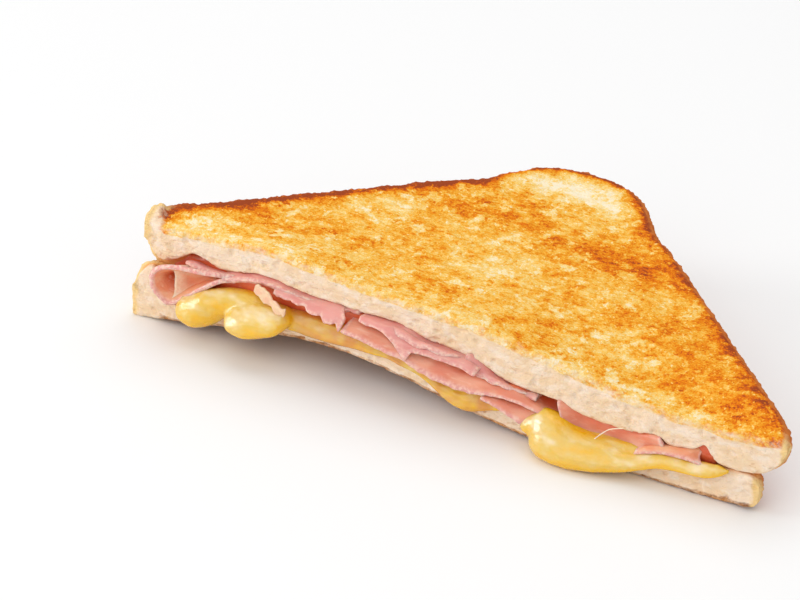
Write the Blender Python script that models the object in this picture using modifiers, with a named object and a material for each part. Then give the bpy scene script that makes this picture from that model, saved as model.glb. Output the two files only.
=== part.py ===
"""Half of a ham and cheese toastie: two pressed slices of bread, cut corner to corner, round ham and cheese.

Frame: metres, +Z up. The cut face looks along -Y and its length runs along X. The square corner of the
bread points along +Y. The half is modelled with the cut on Y = 0 and then moved, so that the origin is
on the surface that it lies on, under the middle of its box.
"""

import math

import bmesh
import bpy
import numpy as np
from mathutils import Matrix, Vector, noise

MM = 0.001

# Plan of a slice
LEFT_CORNER = (-83 * MM, 0.0)
RIGHT_CORNER = (81.8 * MM, 0.0)
BACK_CORNER = (-2.5 * MM, 84.3 * MM)
TIP_RADIUS = 9 * MM
BACK_RADIUS = 21 * MM
SHOULDER_BULGE = 1.7 * MM
SHOULDER_LENGTH = 30 * MM
SHOULDER_NOTCH = 0.9 * MM
NOTCH_LENGTH = 5 * MM
LOWER_SLICE_SLIDE = -4.1 * MM
LOWER_SLICE_SCALE = 0.987
PLAN_STEP = 2.5 * MM

# Heights along the cut, as pairs of place along X and height above the table, in millimetres
TOP_FACE = (
    (-78, 25.6), (-66, 25.8), (-50, 27.4), (-20, 25.2), (6, 24.0), (30, 20.6), (52, 17.8), (66, 18.0),
    (79, 19.2),
)
UPPER_SLICE_UNDERSIDE = (
    (-79, 20.5), (-75, 16.4), (-71, 17.6), (-66, 20.4), (-60, 18.6), (-48, 20.0), (-38, 18.9), (-12, 18.0),
    (0, 16.6), (12, 12.4), (25, 11.6), (36, 9.9), (48, 10.8), (64, 9.4), (70, 9.5), (74, 11.2), (77, 14.2),
    (79, 17.0),
)
LOWER_SLICE_FACE = (
    (-83, 7.0), (-80, 12.0), (-77, 14.2), (-74, 9.5), (-71, 6.2), (-60, 8.0), (-42, 11.6), (-27, 11.4),
    (-12, 9.8), (0, 8.2), (14, 6.0), (28, 5.6), (40, 5.8), (58, 6.8), (66, 8.2), (76, 8.6),
)
LOWER_SLICE_UNDERSIDE = (
    (-80, 0.0), (-74, 1.0), (-55, 4.6), (-40, 7.0), (-27, 7.4), (-12, 5.6), (0, 3.2), (15, 1.0), (26, 0.0),
    (60, 0.0), (76, 0.9),
)

# Levels behind the cut, as height at the origin and rise for each metre along X and Y
TOP_LEVEL = (23.6 * MM, -0.045, 0.036)
SEAM_LEVEL = (10.9 * MM, -0.027, 0.020)
UPPER_SLICE_THICKNESS = 9.0 * MM
LOWER_SLICE_INNER_FACE = 8.0 * MM
TOP_BLEND_DEPTH = 44 * MM
TOP_BLEND_LEAST = 9 * MM
TIP_REACH = 84 * MM
INNER_BLEND_DEPTH = 24 * MM
ARCH_DEPTH = 38 * MM

# Crust: thick at the rim, where the two slices nearly touch
CRUST_WIDTH = 9 * MM
RIM_START = 3 * MM
RIM_RISE = 0.5 * MM
SEAM_GAP = 1.0 * MM
CRUST_ROUNDING = 3.2 * MM
CUT_ROUNDING = 1.1 * MM
EAR_HEIGHT = 3.6 * MM
EAR_END = -71 * MM
EAR_SLOPE = 4 * MM
EAR_DEPTH = 9 * MM
BITE_PLACE = 60.5 * MM
BITE_WIDTH = 2.4 * MM
BITE_HEIGHT = 2.8 * MM
RELIEF_HEIGHT = 0.5 * MM
RELIEF_SIZE = 7 * MM
RELIEF_START = 8 * MM

# Filling: layers lie a clearance apart and stop short of the crust
HAM_THICKNESS = 1.2 * MM
TAB_THICKNESS = 1.0 * MM
CLEARANCE = 0.35 * MM
HAM_PITCH = HAM_THICKNESS + CLEARANCE
FILLING_INSET = 16 * MM
FILLING_DEPTH = 62 * MM
LEAST_DEPTH = 2.5 * MM
HANG_START = 1.0 * MM
CHEESE_THICKNESS = 1.9 * MM
THIN_CHEESE = 1.1 * MM
THIN_FROM = 2 * MM
THIN_OVER = 7 * MM
CHEESE_ENDS = (-60 * MM, 58 * MM)
CHEESE_FRONT = -0.8 * MM

# Lobes of melted cheese on the cut, in millimetres: centre, half sizes, and turn about Y in degrees
LOBES = (
    ((-62.6, -2.6, 9.2), (6.4, 3.2, 3.6), 4),
    ((-48.0, -3.0, 12.0), (7.8, 3.6, 4.3), -12),
    ((-36.0, -1.2, 12.8), (6.5, 2.3, 3.0), 16),
    ((-27.0, -1.0, 11.0), (7.5, 2.1, 2.3), 8),
    ((-17.0, -0.8, 10.2), (7.5, 1.6, 1.4), 6),
    ((-1.0, -1.2, 6.6), (7.0, 1.9, 2.4), 6),
    ((8.0, -0.8, 5.8), (5.5, 1.3, 1.1), 4),
    ((23.6, -1.7, 7.0), (3.8, 2.4, 3.8), -18),
    ((29.0, -4.0, 3.1), (8.4, 4.3, 3.6), 0),
    ((38.0, -2.6, 4.7), (12.5, 3.2, 4.2), -6),
    ((48.0, -1.8, 6.0), (11.5, 2.4, 3.0), -8),
    ((57.5, -1.3, 7.0), (8.0, 1.8, 2.0), -4),
    ((63.5, -0.9, 7.4), (4.6, 1.4, 1.7), -2),
)

# Routes of the two ribbons of ham on the cut, in millimetres
ROLL_ROUTE = (
    (-56.6, -0.4, 17.1), (-60.5, -2.0, 17.2), (-65.2, -3.0, 17.3), (-69.7, -3.8, 17.6), (-73.0, -4.2, 16.4),
    (-74.8, -4.2, 13.2), (-73.1, -4.0, 10.3), (-69.8, -3.6, 9.4), (-66.2, -3.0, 11.0), (-62.7, -2.2, 13.2),
    (-59.8, -1.4, 14.8), (-57.8, -0.8, 15.4),
)
ROLL_MIDDLE = (-65 * MM, 13.4 * MM)
ROLL_DEPTH = 3.6 * MM
ROLL_CLOSING = 0.26
STRIP_ROUTE = (
    (-49.6, -2.0, 16.7), (-47.0, -3.2, 16.5), (-44.0, -4.4, 16.0), (-41.2, -4.9, 15.0), (-38.6, -4.9, 13.9),
)
STRIP_TILT = (0.30, 0.35, 0.88)
STRIP_WIDTH = 1.9 * MM
STRIP_THICKNESS = 0.8 * MM

# Mesh sizes
BREAD_VOXEL = 1.5 * MM
CHEESE_VOXEL = 0.9 * MM
SLAB_THICKNESS = 8 * MM
UPPER_SLICE_TRIANGLES = 3400
LOWER_SLICE_TRIANGLES = 2700
CHEESE_TRIANGLES = 3000

# Colours
TOAST = (0.70, 0.36, 0.10)
PALE_TOAST = (0.78, 0.56, 0.30)
HAM_PINK = (0.80, 0.42, 0.38)
HAM_FAT = (0.86, 0.62, 0.50)
CHEESE_YELLOW = (0.86, 0.60, 0.12)


def clear_scene():
    """Removes what the start-up scene holds."""
    for obj in list(bpy.data.objects):
        bpy.data.objects.remove(obj)


def smooth_step(value):
    """A soft ramp from 0 to 1."""
    value = np.clip(value, 0.0, 1.0)
    return value * value * (3 - 2 * value)


def mix(first, second, share):
    """A blend from the first value to the second."""
    return first + (second - first) * share


def along(place, stations):
    """A smooth curve through stations in millimetres, read at a place in metres."""
    places, heights = np.array(stations, float).T * MM
    slopes = np.gradient(heights, places)
    index = np.clip(np.searchsorted(places, place) - 1, 0, len(places) - 2)
    width = places[index + 1] - places[index]
    t = np.clip((place - places[index]) / width, 0, 1)
    start = (2 * t**3 - 3 * t**2 + 1) * heights[index] + (t**3 - 2 * t**2 + t) * width * slopes[index]
    end = (3 * t**2 - 2 * t**3) * heights[index + 1] + (t**3 - t**2) * width * slopes[index + 1]
    return start + end


def route_point(share, route):
    """Points on a smooth curve through a route, at shares of the way along it."""
    stops = np.linspace(0, 1, len(route)) / MM
    return [along(share, tuple(zip(stops, axis))) for axis in zip(*route)]


def plane(level, x, y):
    """The height of a level behind the cut."""
    return level[0] + level[1] * x + level[2] * y


def bump(x, centre, width):
    """A bell curve of height 1."""
    return np.exp(-(((x - centre) / width) ** 2))


def arc_points(centre, radius, start, end):
    """Points along an arc."""
    steps = max(2, round(abs(end - start) * radius / PLAN_STEP))
    angles = np.linspace(start, end, steps + 1)
    return [(centre[0] + radius * math.cos(a), centre[1] + radius * math.sin(a)) for a in angles]


def slice_plan():
    """The outline of the cut slice, from its right tip over the back corner to its left tip."""
    right = math.atan2(BACK_CORNER[1], RIGHT_CORNER[0] - BACK_CORNER[0])
    left = math.atan2(BACK_CORNER[1], BACK_CORNER[0] - LEFT_CORNER[0])
    right_centre = (RIGHT_CORNER[0] - TIP_RADIUS / math.sin(right), 0.0)
    left_centre = (LEFT_CORNER[0] + TIP_RADIUS / math.sin(left), 0.0)
    reach = BACK_RADIUS / math.sin((math.pi - right - left) / 2)
    lean = math.pi / 2 + (left - right) / 2
    back_centre = (BACK_CORNER[0] - reach * math.cos(lean), BACK_CORNER[1] - reach * math.sin(lean))
    turns = (
        arc_points(right_centre, TIP_RADIUS, 0.0, math.pi / 2 - right)
        + arc_points(back_centre, BACK_RADIUS, math.pi / 2 - right, math.pi / 2 + left)
        + arc_points(left_centre, TIP_RADIUS, math.pi / 2 + left, math.pi)
    )
    points = []
    for (x0, y0), (x1, y1) in zip(turns, turns[1:]):
        steps = max(1, round(math.hypot(x1 - x0, y1 - y0) / PLAN_STEP))
        points += [(mix(x0, x1, i / steps), mix(y0, y1, i / steps)) for i in range(steps)]
    return [shouldered(point, back_centre) for point in points + turns[-1:]]


def shouldered(point, back_centre):
    """Swells the outline round the back corner, with a slight waist where the swelling starts."""
    away = Vector((point[0] - back_centre[0], point[1] - back_centre[1]))
    from_corner = math.hypot(point[0] - BACK_CORNER[0], point[1] - BACK_CORNER[1])
    swell = SHOULDER_BULGE * float(smooth_step(2 * (BACK_RADIUS - from_corner) / SHOULDER_LENGTH + 0.7))
    waist = SHOULDER_NOTCH * float(bump(from_corner, SHOULDER_LENGTH + NOTCH_LENGTH, NOTCH_LENGTH))
    moved = away.normalized() * (swell - waist)
    return (point[0] + moved.x, point[1] + moved.y)


def crust_distance(x, y, plan):
    """Distance in from the crusted sides, which leaves out the cut."""
    ends = np.array(plan)
    start, run = ends[:-1], np.diff(ends, axis=0)
    to_x, to_y = x[:, None] - start[:, 0], y[:, None] - start[:, 1]
    t = np.clip((to_x * run[:, 0] + to_y * run[:, 1]) / (run**2).sum(axis=1), 0, 1)
    return np.hypot(to_x - t * run[:, 0], to_y - t * run[:, 1]).min(axis=1)


def rim_share(distance, y):
    """How much of the crust's thickness a place has: all of it at the rim, and none on the cut."""
    return smooth_step(1.25 - distance / CRUST_WIDTH) * smooth_step(y / RIM_START - 0.3)


def rounding(distance, radius):
    """How far a rounded edge has dropped, at a distance in from the side."""
    rest = np.clip(radius - distance, 0, radius)
    return radius - np.sqrt(radius**2 - rest**2)


def top_face(x, y, rim):
    """The toasted face, with the ear of crust that stands up at the left end of the cut."""
    blend = np.maximum(TOP_BLEND_DEPTH * (1 - np.abs(x) / TIP_REACH), TOP_BLEND_LEAST)
    level = mix(along(x, TOP_FACE), plane(TOP_LEVEL, x, y), smooth_step(y / blend)) + RIM_RISE * rim
    ear = smooth_step((EAR_END - x) / EAR_SLOPE) * (1 - smooth_step(2 * y / EAR_DEPTH - 0.6))
    return level + EAR_HEIGHT * ear


def upper_underside(x, y, rim):
    """The face of the upper slice that lies on the filling, with a bite out of it near the right end."""
    cut = along(x, UPPER_SLICE_UNDERSIDE) + BITE_HEIGHT * bump(x, BITE_PLACE, BITE_WIDTH)
    inner = mix(cut, plane(TOP_LEVEL, x, y) - UPPER_SLICE_THICKNESS, smooth_step(y / INNER_BLEND_DEPTH))
    return mix(inner, plane(SEAM_LEVEL, x, y) + SEAM_GAP / 2, rim)


def lower_face(x, y, rim):
    """The face of the lower slice that the filling lies on."""
    inner = mix(along(x, LOWER_SLICE_FACE), LOWER_SLICE_INNER_FACE, smooth_step(y / INNER_BLEND_DEPTH))
    return mix(inner, plane(SEAM_LEVEL, x, y) - SEAM_GAP / 2, rim)


def lower_underside(x, y):
    """The face that lies on the table, arched up along the left of the cut."""
    return along(x, LOWER_SLICE_UNDERSIDE) * (1 - smooth_step(y / ARCH_DEPTH))


def new_object(name, mesh):
    """A mesh object in the scene."""
    obj = bpy.data.objects.new(name, mesh)
    bpy.context.scene.collection.objects.link(obj)
    return obj


def shown_mesh(obj):
    """A new mesh with what an object shows once its modifiers have run."""
    return bpy.data.meshes.new_from_object(obj.evaluated_get(bpy.context.evaluated_depsgraph_get()))


def applied(obj):
    """The object with its modifiers applied to its mesh."""
    mesh = shown_mesh(obj)
    obj.modifiers.clear()
    old, obj.data = obj.data, mesh
    bpy.data.meshes.remove(old)
    return obj


def flat_slab(name, outline):
    """A closed outline, filled and extruded, as a mesh object."""
    curve = bpy.data.curves.new(name + "_outline", "CURVE")
    curve.dimensions = "2D"
    curve.fill_mode = "BOTH"
    curve.extrude = SLAB_THICKNESS / 2
    spline = curve.splines.new("POLY")
    spline.points.add(len(outline) - 1)
    for control, (x, y) in zip(spline.points, outline):
        control.co = (x, y, 0.0, 1.0)
    spline.use_cyclic_u = True
    guide = new_object(name + "_guide", curve)
    obj = new_object(name, shown_mesh(guide))
    bpy.data.objects.remove(guide)
    bpy.data.curves.remove(curve)
    shape = bmesh.new()
    shape.from_mesh(obj.data)
    bmesh.ops.remove_doubles(shape, verts=shape.verts, dist=0.01 * MM)
    bmesh.ops.recalc_face_normals(shape, faces=shape.faces)
    shape.to_mesh(obj.data)
    shape.free()
    return obj


def remeshed(obj, voxel):
    """The object with an even skin of small faces."""
    skin = obj.modifiers.new("even_skin", "REMESH")
    skin.mode = "VOXEL"
    skin.voxel_size = voxel
    return applied(obj)


def decimated(obj, triangles):
    """Fewer faces on the same form."""
    obj.data.calc_loop_triangles()
    fewer = obj.modifiers.new("fewer_faces", "DECIMATE")
    fewer.ratio = min(1.0, triangles / len(obj.data.loop_triangles))
    fewer.use_collapse_triangulate = True
    return applied(obj)


def points_of(mesh):
    """The places of a mesh's vertices, one row each."""
    points = np.empty(len(mesh.vertices) * 3)
    mesh.vertices.foreach_get("co", points)
    return points.reshape(-1, 3)


def put_points(mesh, points):
    """Moves a mesh's vertices to new places."""
    mesh.vertices.foreach_set("co", np.ascontiguousarray(points, float).ravel())
    mesh.update()


def relief(points, size):
    """A smooth uneven height between about -1 and 1 at each point."""
    return np.array([noise.noise(Vector(point) / size) for point in points])


def bread_slice(name, plan, slide, heights, triangles, roughness):
    """A slice made as a flat slab, then carried to its own lower and upper faces."""
    slab = remeshed(flat_slab(name, plan), BREAD_VOXEL)
    points = points_of(slab.data)
    x, y = points[:, 0] + slide, np.clip(points[:, 1], 0, None)
    share = np.clip(points[:, 2] / SLAB_THICKNESS + 0.5, 0, 1)
    distance = crust_distance(points[:, 0], y, plan)
    low, high = heights(x, y, rim_share(distance, y))
    edge = np.maximum(rounding(distance, CRUST_ROUNDING), rounding(y, CUT_ROUNDING))
    rough = roughness * relief(points, RELIEF_SIZE) * smooth_step(y / RELIEF_START) * (share > 0.5)
    low = np.maximum(low + edge, 0.0)
    put_points(slab.data, np.column_stack((x, points[:, 1], mix(low, high - edge + rough, share))))
    return decimated(slab, triangles)


def upper_slice(plan):
    """The slice with the toasted face that shows."""

    def heights(x, y, rim):
        return upper_underside(x, y, rim), top_face(x, y, rim)

    return bread_slice("bread_top", plan, 0.0, heights, UPPER_SLICE_TRIANGLES, RELIEF_HEIGHT)


def lower_slice(plan):
    """The slice that lies on the table, slid a little to the left."""

    def heights(x, y, rim):
        return lower_underside(x, y), lower_face(x, y, rim)

    smaller = [(x * LOWER_SLICE_SCALE, y * LOWER_SLICE_SCALE) for x, y in plan]
    return bread_slice("bread_bottom", smaller, LOWER_SLICE_SLIDE, heights, LOWER_SLICE_TRIANGLES, 0.0)


def filling_depth(x):
    """How far the filling runs in behind the cut."""
    right = (RIGHT_CORNER[0] - x) * BACK_CORNER[1] / (RIGHT_CORNER[0] - BACK_CORNER[0])
    left = (x - LEFT_CORNER[0]) * BACK_CORNER[1] / (BACK_CORNER[0] - LEFT_CORNER[0])
    return np.clip(np.minimum(right, left) - FILLING_INSET, LEAST_DEPTH, FILLING_DEPTH)


def cheese_top(x, y):
    """The upper face of the cheese layer, which is thinner towards the right."""
    thickness = mix(CHEESE_THICKNESS, THIN_CHEESE, smooth_step((x - THIN_FROM) / THIN_OVER))
    return lower_face(x, np.clip(y, 0, None), 0.0) + CLEARANCE + thickness


def under_bread(x, y):
    """The level of a ham slice that lies against the upper slice of bread."""
    return upper_underside(x, np.clip(y, 0, None), 0.0) - CLEARANCE - HAM_THICKNESS / 2


def under_ham(x, y):
    """The level of a ham slice that lies under another one."""
    return under_bread(x, y) - HAM_PITCH


def on_cheese(x, y):
    """The level of a ham slice that lies on the cheese."""
    return cheese_top(x, y) + CLEARANCE + HAM_THICKNESS / 2


def ham_sheet(name, columns, rows, place, thickness=HAM_THICKNESS):
    """A slice of ham: a grid carried to its place, then given its thickness."""
    grid = bmesh.new()
    bmesh.ops.create_grid(grid, x_segments=columns, y_segments=rows, size=0.5)
    mesh = bpy.data.meshes.new(name)
    grid.to_mesh(mesh)
    grid.free()
    flat = points_of(mesh) + 0.5
    put_points(mesh, np.column_stack(place(flat[:, 0], flat[:, 1])))
    obj = new_object(name, mesh)
    solid = obj.modifiers.new("thickness", "SOLIDIFY")
    solid.thickness = thickness
    solid.offset = 0.0
    return applied(obj)


def hanging(ends, inner_ends, level, reach, droop, front=0.3):
    """Places a slice whose front edge leaves the sandwich and hangs down over what is below."""

    def place(u, v):
        inward = np.clip((v - front) / (1 - front), 0, 1)
        outward = np.clip(1 - v / front, 0, 1)
        x = mix(mix(ends[0], inner_ends[0], inward), mix(ends[1], inner_ends[1], inward), u) * MM
        behind = (filling_depth(x) - HANG_START) * inward**2
        y = HANG_START + behind - (HANG_START + along(x, reach)) * outward
        return x, y, level(x, y) - along(x, droop) * outward**1.6

    return place


def ham_under_bread():
    """The slice along the edge of the upper bread."""
    place = hanging((-55.4, -12), (-45, -14), under_bread, ((-57, 1.0), (-12, 1.4)), ((-57, 0.3), (-12, 0.6)))
    return ham_sheet("ham_top", 16, 7, place)


def ham_bundle():
    """The folded end under the bread, with a tongue that hangs down at its left."""
    reach = ((-24, 1.6), (-17, 3.0), (-13, 4.2), (-9, 3.2), (-2, 2.6), (12, 1.4))
    droop = ((-24, 0.6), (-17, 2.6), (-13, 5.4), (-9, 2.4), (-2, 2.0), (12, 0.5))

    def level(x, y):
        return mix(under_bread(x, y), under_ham(x, y), smooth_step((-8 * MM - x) / (3 * MM)))

    return ham_sheet("ham_fold", 16, 8, hanging((-24, 12), (-22, 5), level, reach, droop))


def ham_ragged_flap():
    """The torn piece that hangs over the cheese on the left."""
    reach = ((-42, 1.4), (-33, 2.4), (-26, 2.4))
    droop = ((-42, 0.4), (-34, 1.4), (-26, 2.6))
    return ham_sheet("ham_flap", 8, 6, hanging((-41, -26), (-38, -26), under_ham, reach, droop))


def ham_lower_band():
    """The slice on the cheese, with a broad face that hangs over the cut."""
    reach = ((-24, 2.0), (-8, 2.8), (12, 2.2), (24, 1.2), (60, 0.9))
    droop = ((-24, 2.4), (-8, 4.0), (8, 2.4), (22, 1.2), (60, 0.8))

    def level(x, y):
        raised = on_cheese(x, y) + HAM_PITCH * smooth_step((x - 5 * MM) / (4 * MM))
        return np.minimum(raised, under_bread(x, y))

    return ham_sheet("ham_low", 30, 8, hanging((-24, 61), (-24, 50), level, reach, droop))


def ham_lowest():
    """The slice under the lower band, beside the long run of cheese."""
    reach = ((8, 1.2), (14, 2.0), (28, 1.2))
    droop = ((8, 1.6), (14, 3.4), (20, 4.4), (28, 2.4))
    return ham_sheet("ham_under", 9, 6, hanging((9.6, 27), (12, 26), on_cheese, reach, droop))


def ham_tab():
    """The small end that shows in the gap under the left of the upper bread."""
    reach = ((-67, 1.6), (-63, 1.4))
    droop = ((-67, 0.8), (-63, 0.2))
    place = hanging((-67, -63.2), (-66, -63.6), under_bread, reach, droop)
    return ham_sheet("ham_tab", 3, 4, place, TAB_THICKNESS)


def ham_roll():
    """The slice that curls round on itself at the left end of the cut."""

    def place(u, v):
        x, y, z = route_point(u, ROLL_ROUTE)
        open_share = 1 - ROLL_CLOSING * v
        return mix(ROLL_MIDDLE[0], x, open_share), y + ROLL_DEPTH * v, mix(ROLL_MIDDLE[1], z, open_share)

    return ham_sheet("ham_loop", 30, 3, place)


def ham_strip():
    """The pale strip of fat that runs down over the cheese."""
    across = Vector(STRIP_TILT) * STRIP_WIDTH

    def place(u, v):
        x, y, z = route_point(u, STRIP_ROUTE)
        side = v - 0.5
        return x + side * across.x, y + side * across.y, z + side * across.z

    return ham_sheet("ham_strip", 9, 2, place, STRIP_THICKNESS)


def add_lobes(mesh):
    """Adds the rounded lobes of cheese to a mesh."""
    shape = bmesh.new()
    shape.from_mesh(mesh)
    for centre, half_sizes, turn in LOBES:
        place = Matrix.Translation(Vector(centre) * MM)
        turned = Matrix.Rotation(math.radians(turn), 4, "Y")
        sized = Matrix.Diagonal((*(Vector(half_sizes) * MM), 1.0))
        matrix = place @ turned @ sized
        bmesh.ops.create_uvsphere(shape, u_segments=24, v_segments=14, radius=1.0, matrix=matrix)
    shape.to_mesh(mesh)
    shape.free()


def cheese_slab():
    """The melted slice that lies on the lower slice of bread."""
    start, end = CHEESE_ENDS
    back = [(x, float(filling_depth(x))) for x in np.arange(end, start, -PLAN_STEP)]
    front = [(start, CHEESE_FRONT), (end, CHEESE_FRONT)]
    slab = remeshed(flat_slab("cheese", front + back), CHEESE_VOXEL)
    points = points_of(slab.data)
    share = np.clip(points[:, 2] / SLAB_THICKNESS + 0.5, 0, 1)
    x, y = points[:, 0], np.clip(points[:, 1], 0, None)
    low = lower_face(x, y, 0.0) + CLEARANCE
    put_points(slab.data, np.column_stack((x, points[:, 1], mix(low, cheese_top(x, y), share))))
    return slab


def melted_cheese(neighbours):
    """The cheese layer with the lobes that have run out over the cut."""
    cheese = cheese_slab()
    add_lobes(cheese.data)
    remeshed(cheese, CHEESE_VOXEL)
    soft = cheese.modifiers.new("soft", "SMOOTH")
    soft.iterations = 4
    applied(cheese)
    points = points_of(cheese.data)
    points[:, 2] = np.maximum(points[:, 2], 0.0)
    put_points(cheese.data, points)
    for neighbour in neighbours:
        cut_clear(cheese, neighbour)
    keep_largest(cheese.data)
    return decimated(cheese, CHEESE_TRIANGLES)


def cut_clear(obj, neighbour):
    """Cuts the object back from its neighbour, which leaves a clearance."""
    cutter = new_object(neighbour.name + "_cutter", neighbour.data.copy())
    swell = cutter.modifiers.new("clearance", "DISPLACE")
    swell.strength = CLEARANCE
    swell.mid_level = 0.0
    cut = obj.modifiers.new("clear_of_" + neighbour.name, "BOOLEAN")
    cut.operation = "DIFFERENCE"
    cut.object = cutter
    applied(obj)
    bpy.data.objects.remove(cutter)


def keep_largest(mesh):
    """Drops the scraps that a cut leaves."""
    shape = bmesh.new()
    shape.from_mesh(mesh)
    unseen = set(shape.verts)
    groups = []
    while unseen:
        group = set()
        fresh = {unseen.pop()}
        while fresh:
            group |= fresh
            fresh = {edge.other_vert(vertex) for vertex in fresh for edge in vertex.link_edges} & unseen
            unseen -= fresh
        groups.append(group)
    groups.sort(key=len)
    scraps = [vertex for group in groups[:-1] for vertex in group]
    bmesh.ops.delete(shape, geom=scraps, context="VERTS")
    shape.to_mesh(mesh)
    shape.free()


def food_material(name, colour, roughness):
    """A plain finish for one kind of food."""
    made = bpy.data.materials.new(name)
    made.use_nodes = True
    shader = made.node_tree.nodes["Principled BSDF"]
    shader.inputs["Base Color"].default_value = (*colour, 1.0)
    shader.inputs["Roughness"].default_value = roughness
    shader.inputs["Metallic"].default_value = 0.0
    return made


def dress(objects, material):
    """Gives objects a finish and smooth shading."""
    for obj in objects:
        obj.data.materials.clear()
        obj.data.materials.append(material)
        obj.data.shade_smooth()


def gather(objects, name):
    """Moves the objects to one collection, with the origin under the middle of their box."""
    group = bpy.data.collections.new(name)
    bpy.context.scene.collection.children.link(group)
    every = np.vstack([points_of(obj.data) for obj in objects])
    low, high = every.min(axis=0), every.max(axis=0)
    shift = np.array(((low[0] + high[0]) / 2, (low[1] + high[1]) / 2, low[2]))
    for obj in objects:
        put_points(obj.data, points_of(obj.data) - shift)
        bpy.context.scene.collection.objects.unlink(obj)
        group.objects.link(obj)


def main():
    clear_scene()
    plan = slice_plan()
    upper = upper_slice(plan)
    lower = lower_slice(plan)
    slices = [ham_under_bread(), ham_bundle(), ham_ragged_flap(), ham_lower_band(), ham_lowest()]
    slices += [ham_tab(), ham_roll()]
    strip = ham_strip()
    cheese = melted_cheese([lower, *slices, strip])
    dress([upper], food_material("toasted_bread", TOAST, 0.6))
    dress([lower], food_material("pale_bread", PALE_TOAST, 0.75))
    dress(slices, food_material("ham", HAM_PINK, 0.4))
    dress([strip], food_material("ham_fat", HAM_FAT, 0.35))
    dress([cheese], food_material("melted_cheese", CHEESE_YELLOW, 0.25))
    gather([upper, lower, *slices, strip, cheese], "ham_and_cheese_toastie_half")


main()
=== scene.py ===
"""The looks of half a ham and cheese toastie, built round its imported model.

Forms are worked out in millimetres on the line of the cut: X along the cut, Y behind it, Z up from the table.
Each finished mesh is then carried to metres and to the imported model's own origin.
Sizes in the classes below are in millimetres, except the places of the lamps, which are in metres.
"""

from __future__ import annotations

import logging
import math
from collections.abc import Callable, Iterator, Sequence
from contextlib import contextmanager
from dataclasses import dataclass, field
from enum import Enum

import bmesh
import bpy
import numpy as np
from mathutils import Matrix, Vector, noise

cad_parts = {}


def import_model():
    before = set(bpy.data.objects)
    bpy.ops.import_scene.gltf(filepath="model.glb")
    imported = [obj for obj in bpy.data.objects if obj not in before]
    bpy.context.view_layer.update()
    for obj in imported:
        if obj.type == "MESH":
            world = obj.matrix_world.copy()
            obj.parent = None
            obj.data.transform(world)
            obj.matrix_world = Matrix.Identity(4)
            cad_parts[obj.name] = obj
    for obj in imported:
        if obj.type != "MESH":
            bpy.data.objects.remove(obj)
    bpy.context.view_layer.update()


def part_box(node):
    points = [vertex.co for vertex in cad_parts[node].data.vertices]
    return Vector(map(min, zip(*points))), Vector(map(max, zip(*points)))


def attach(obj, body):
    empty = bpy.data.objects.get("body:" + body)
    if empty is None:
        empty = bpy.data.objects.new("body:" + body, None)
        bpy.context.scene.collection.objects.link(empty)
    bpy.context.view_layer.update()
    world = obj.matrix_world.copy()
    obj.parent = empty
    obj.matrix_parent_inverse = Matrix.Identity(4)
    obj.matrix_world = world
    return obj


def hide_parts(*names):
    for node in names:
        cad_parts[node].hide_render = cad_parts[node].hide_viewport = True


MM = 0.001
SAME_SPOT = 0.01
BODY = "root"
LOG = logging.getLogger("toastie")

Number = np.ndarray | float
Pair = tuple[float, float]
Point = tuple[float, float, float]
Colour = tuple[float, float, float]
Stations = tuple[Pair, ...]
Outline = list[Pair]
Row = tuple[Point, ...]
Rows = tuple[Row, ...]
Section = tuple[float, float, float, float, float]
Places = tuple[np.ndarray, np.ndarray, np.ndarray]
Place = Callable[[np.ndarray, np.ndarray], Places]
Piece = bpy.types.Object
Socket = bpy.types.NodeSocket


def smooth_step(value: Number) -> np.ndarray:
    """A soft ramp from 0 to 1."""
    value = np.clip(value, 0.0, 1.0)
    return value * value * (3 - 2 * value)


def mix(first: Number, second: Number, share: Number) -> Number:
    """A blend from the first value to the second."""
    return first + (second - first) * share


def bell(place: np.ndarray, centre: float, width: float) -> np.ndarray:
    """A bell curve of height 1."""
    return np.exp(-(((place - centre) / width) ** 2))


def bridge(t: Number, span: Number, near: Number, far: Number, leave: Number, arrive: Number) -> Number:
    """A smooth curve from one station to the next.

    Args:
        t: The share of the way between them.
        span: The distance between them.
        near: The value at the first station.
        far: The value at the next station.
        leave: The slope at the first station.
        arrive: The slope at the next station.

    Returns:
        The curve's value.
    """
    start = (2 * t**3 - 3 * t**2 + 1) * near + (t**3 - 2 * t**2 + t) * span * leave
    end = (3 * t**2 - 2 * t**3) * far + (t**3 - t**2) * span * arrive
    return start + end


def along(place: Number, stations: Stations) -> np.ndarray:
    """A smooth curve through stations.

    Args:
        place: Where the curve is read.
        stations: Pairs of place and value, in rising order of place.

    Returns:
        The curve's value at each place.
    """
    places, values = np.array(stations, float).T
    slopes = np.gradient(values, places)
    index = np.clip(np.searchsorted(places, place) - 1, 0, len(places) - 2)
    width = places[index + 1] - places[index]
    t = np.clip((place - places[index]) / width, 0, 1)
    return bridge(t, width, values[index], values[index + 1], slopes[index], slopes[index + 1])


def route_point(share: np.ndarray, route: Row) -> list[np.ndarray]:
    """Points on a smooth curve through a route.

    Args:
        share: How far along the route each point is, from 0 to 1.
        route: The points that the curve passes through.

    Returns:
        The X, Y and Z of the points.
    """
    stops = np.linspace(0, 1, len(route))
    return [along(share, tuple(zip(stops, axis))) for axis in zip(*route)]


def noise_at(points: np.ndarray, size: Point | float, seed: float = 0.0) -> np.ndarray:
    """A smooth uneven value between about -1 and 1.

    Args:
        points: Places, one row each.
        size: The size of the unevenness, or one for each axis.
        seed: Shifts the pattern.

    Returns:
        The value at each point.
    """
    scaled = points / np.asarray(size, float) + seed
    return np.array([noise.noise(Vector(point)) for point in scaled])


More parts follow.
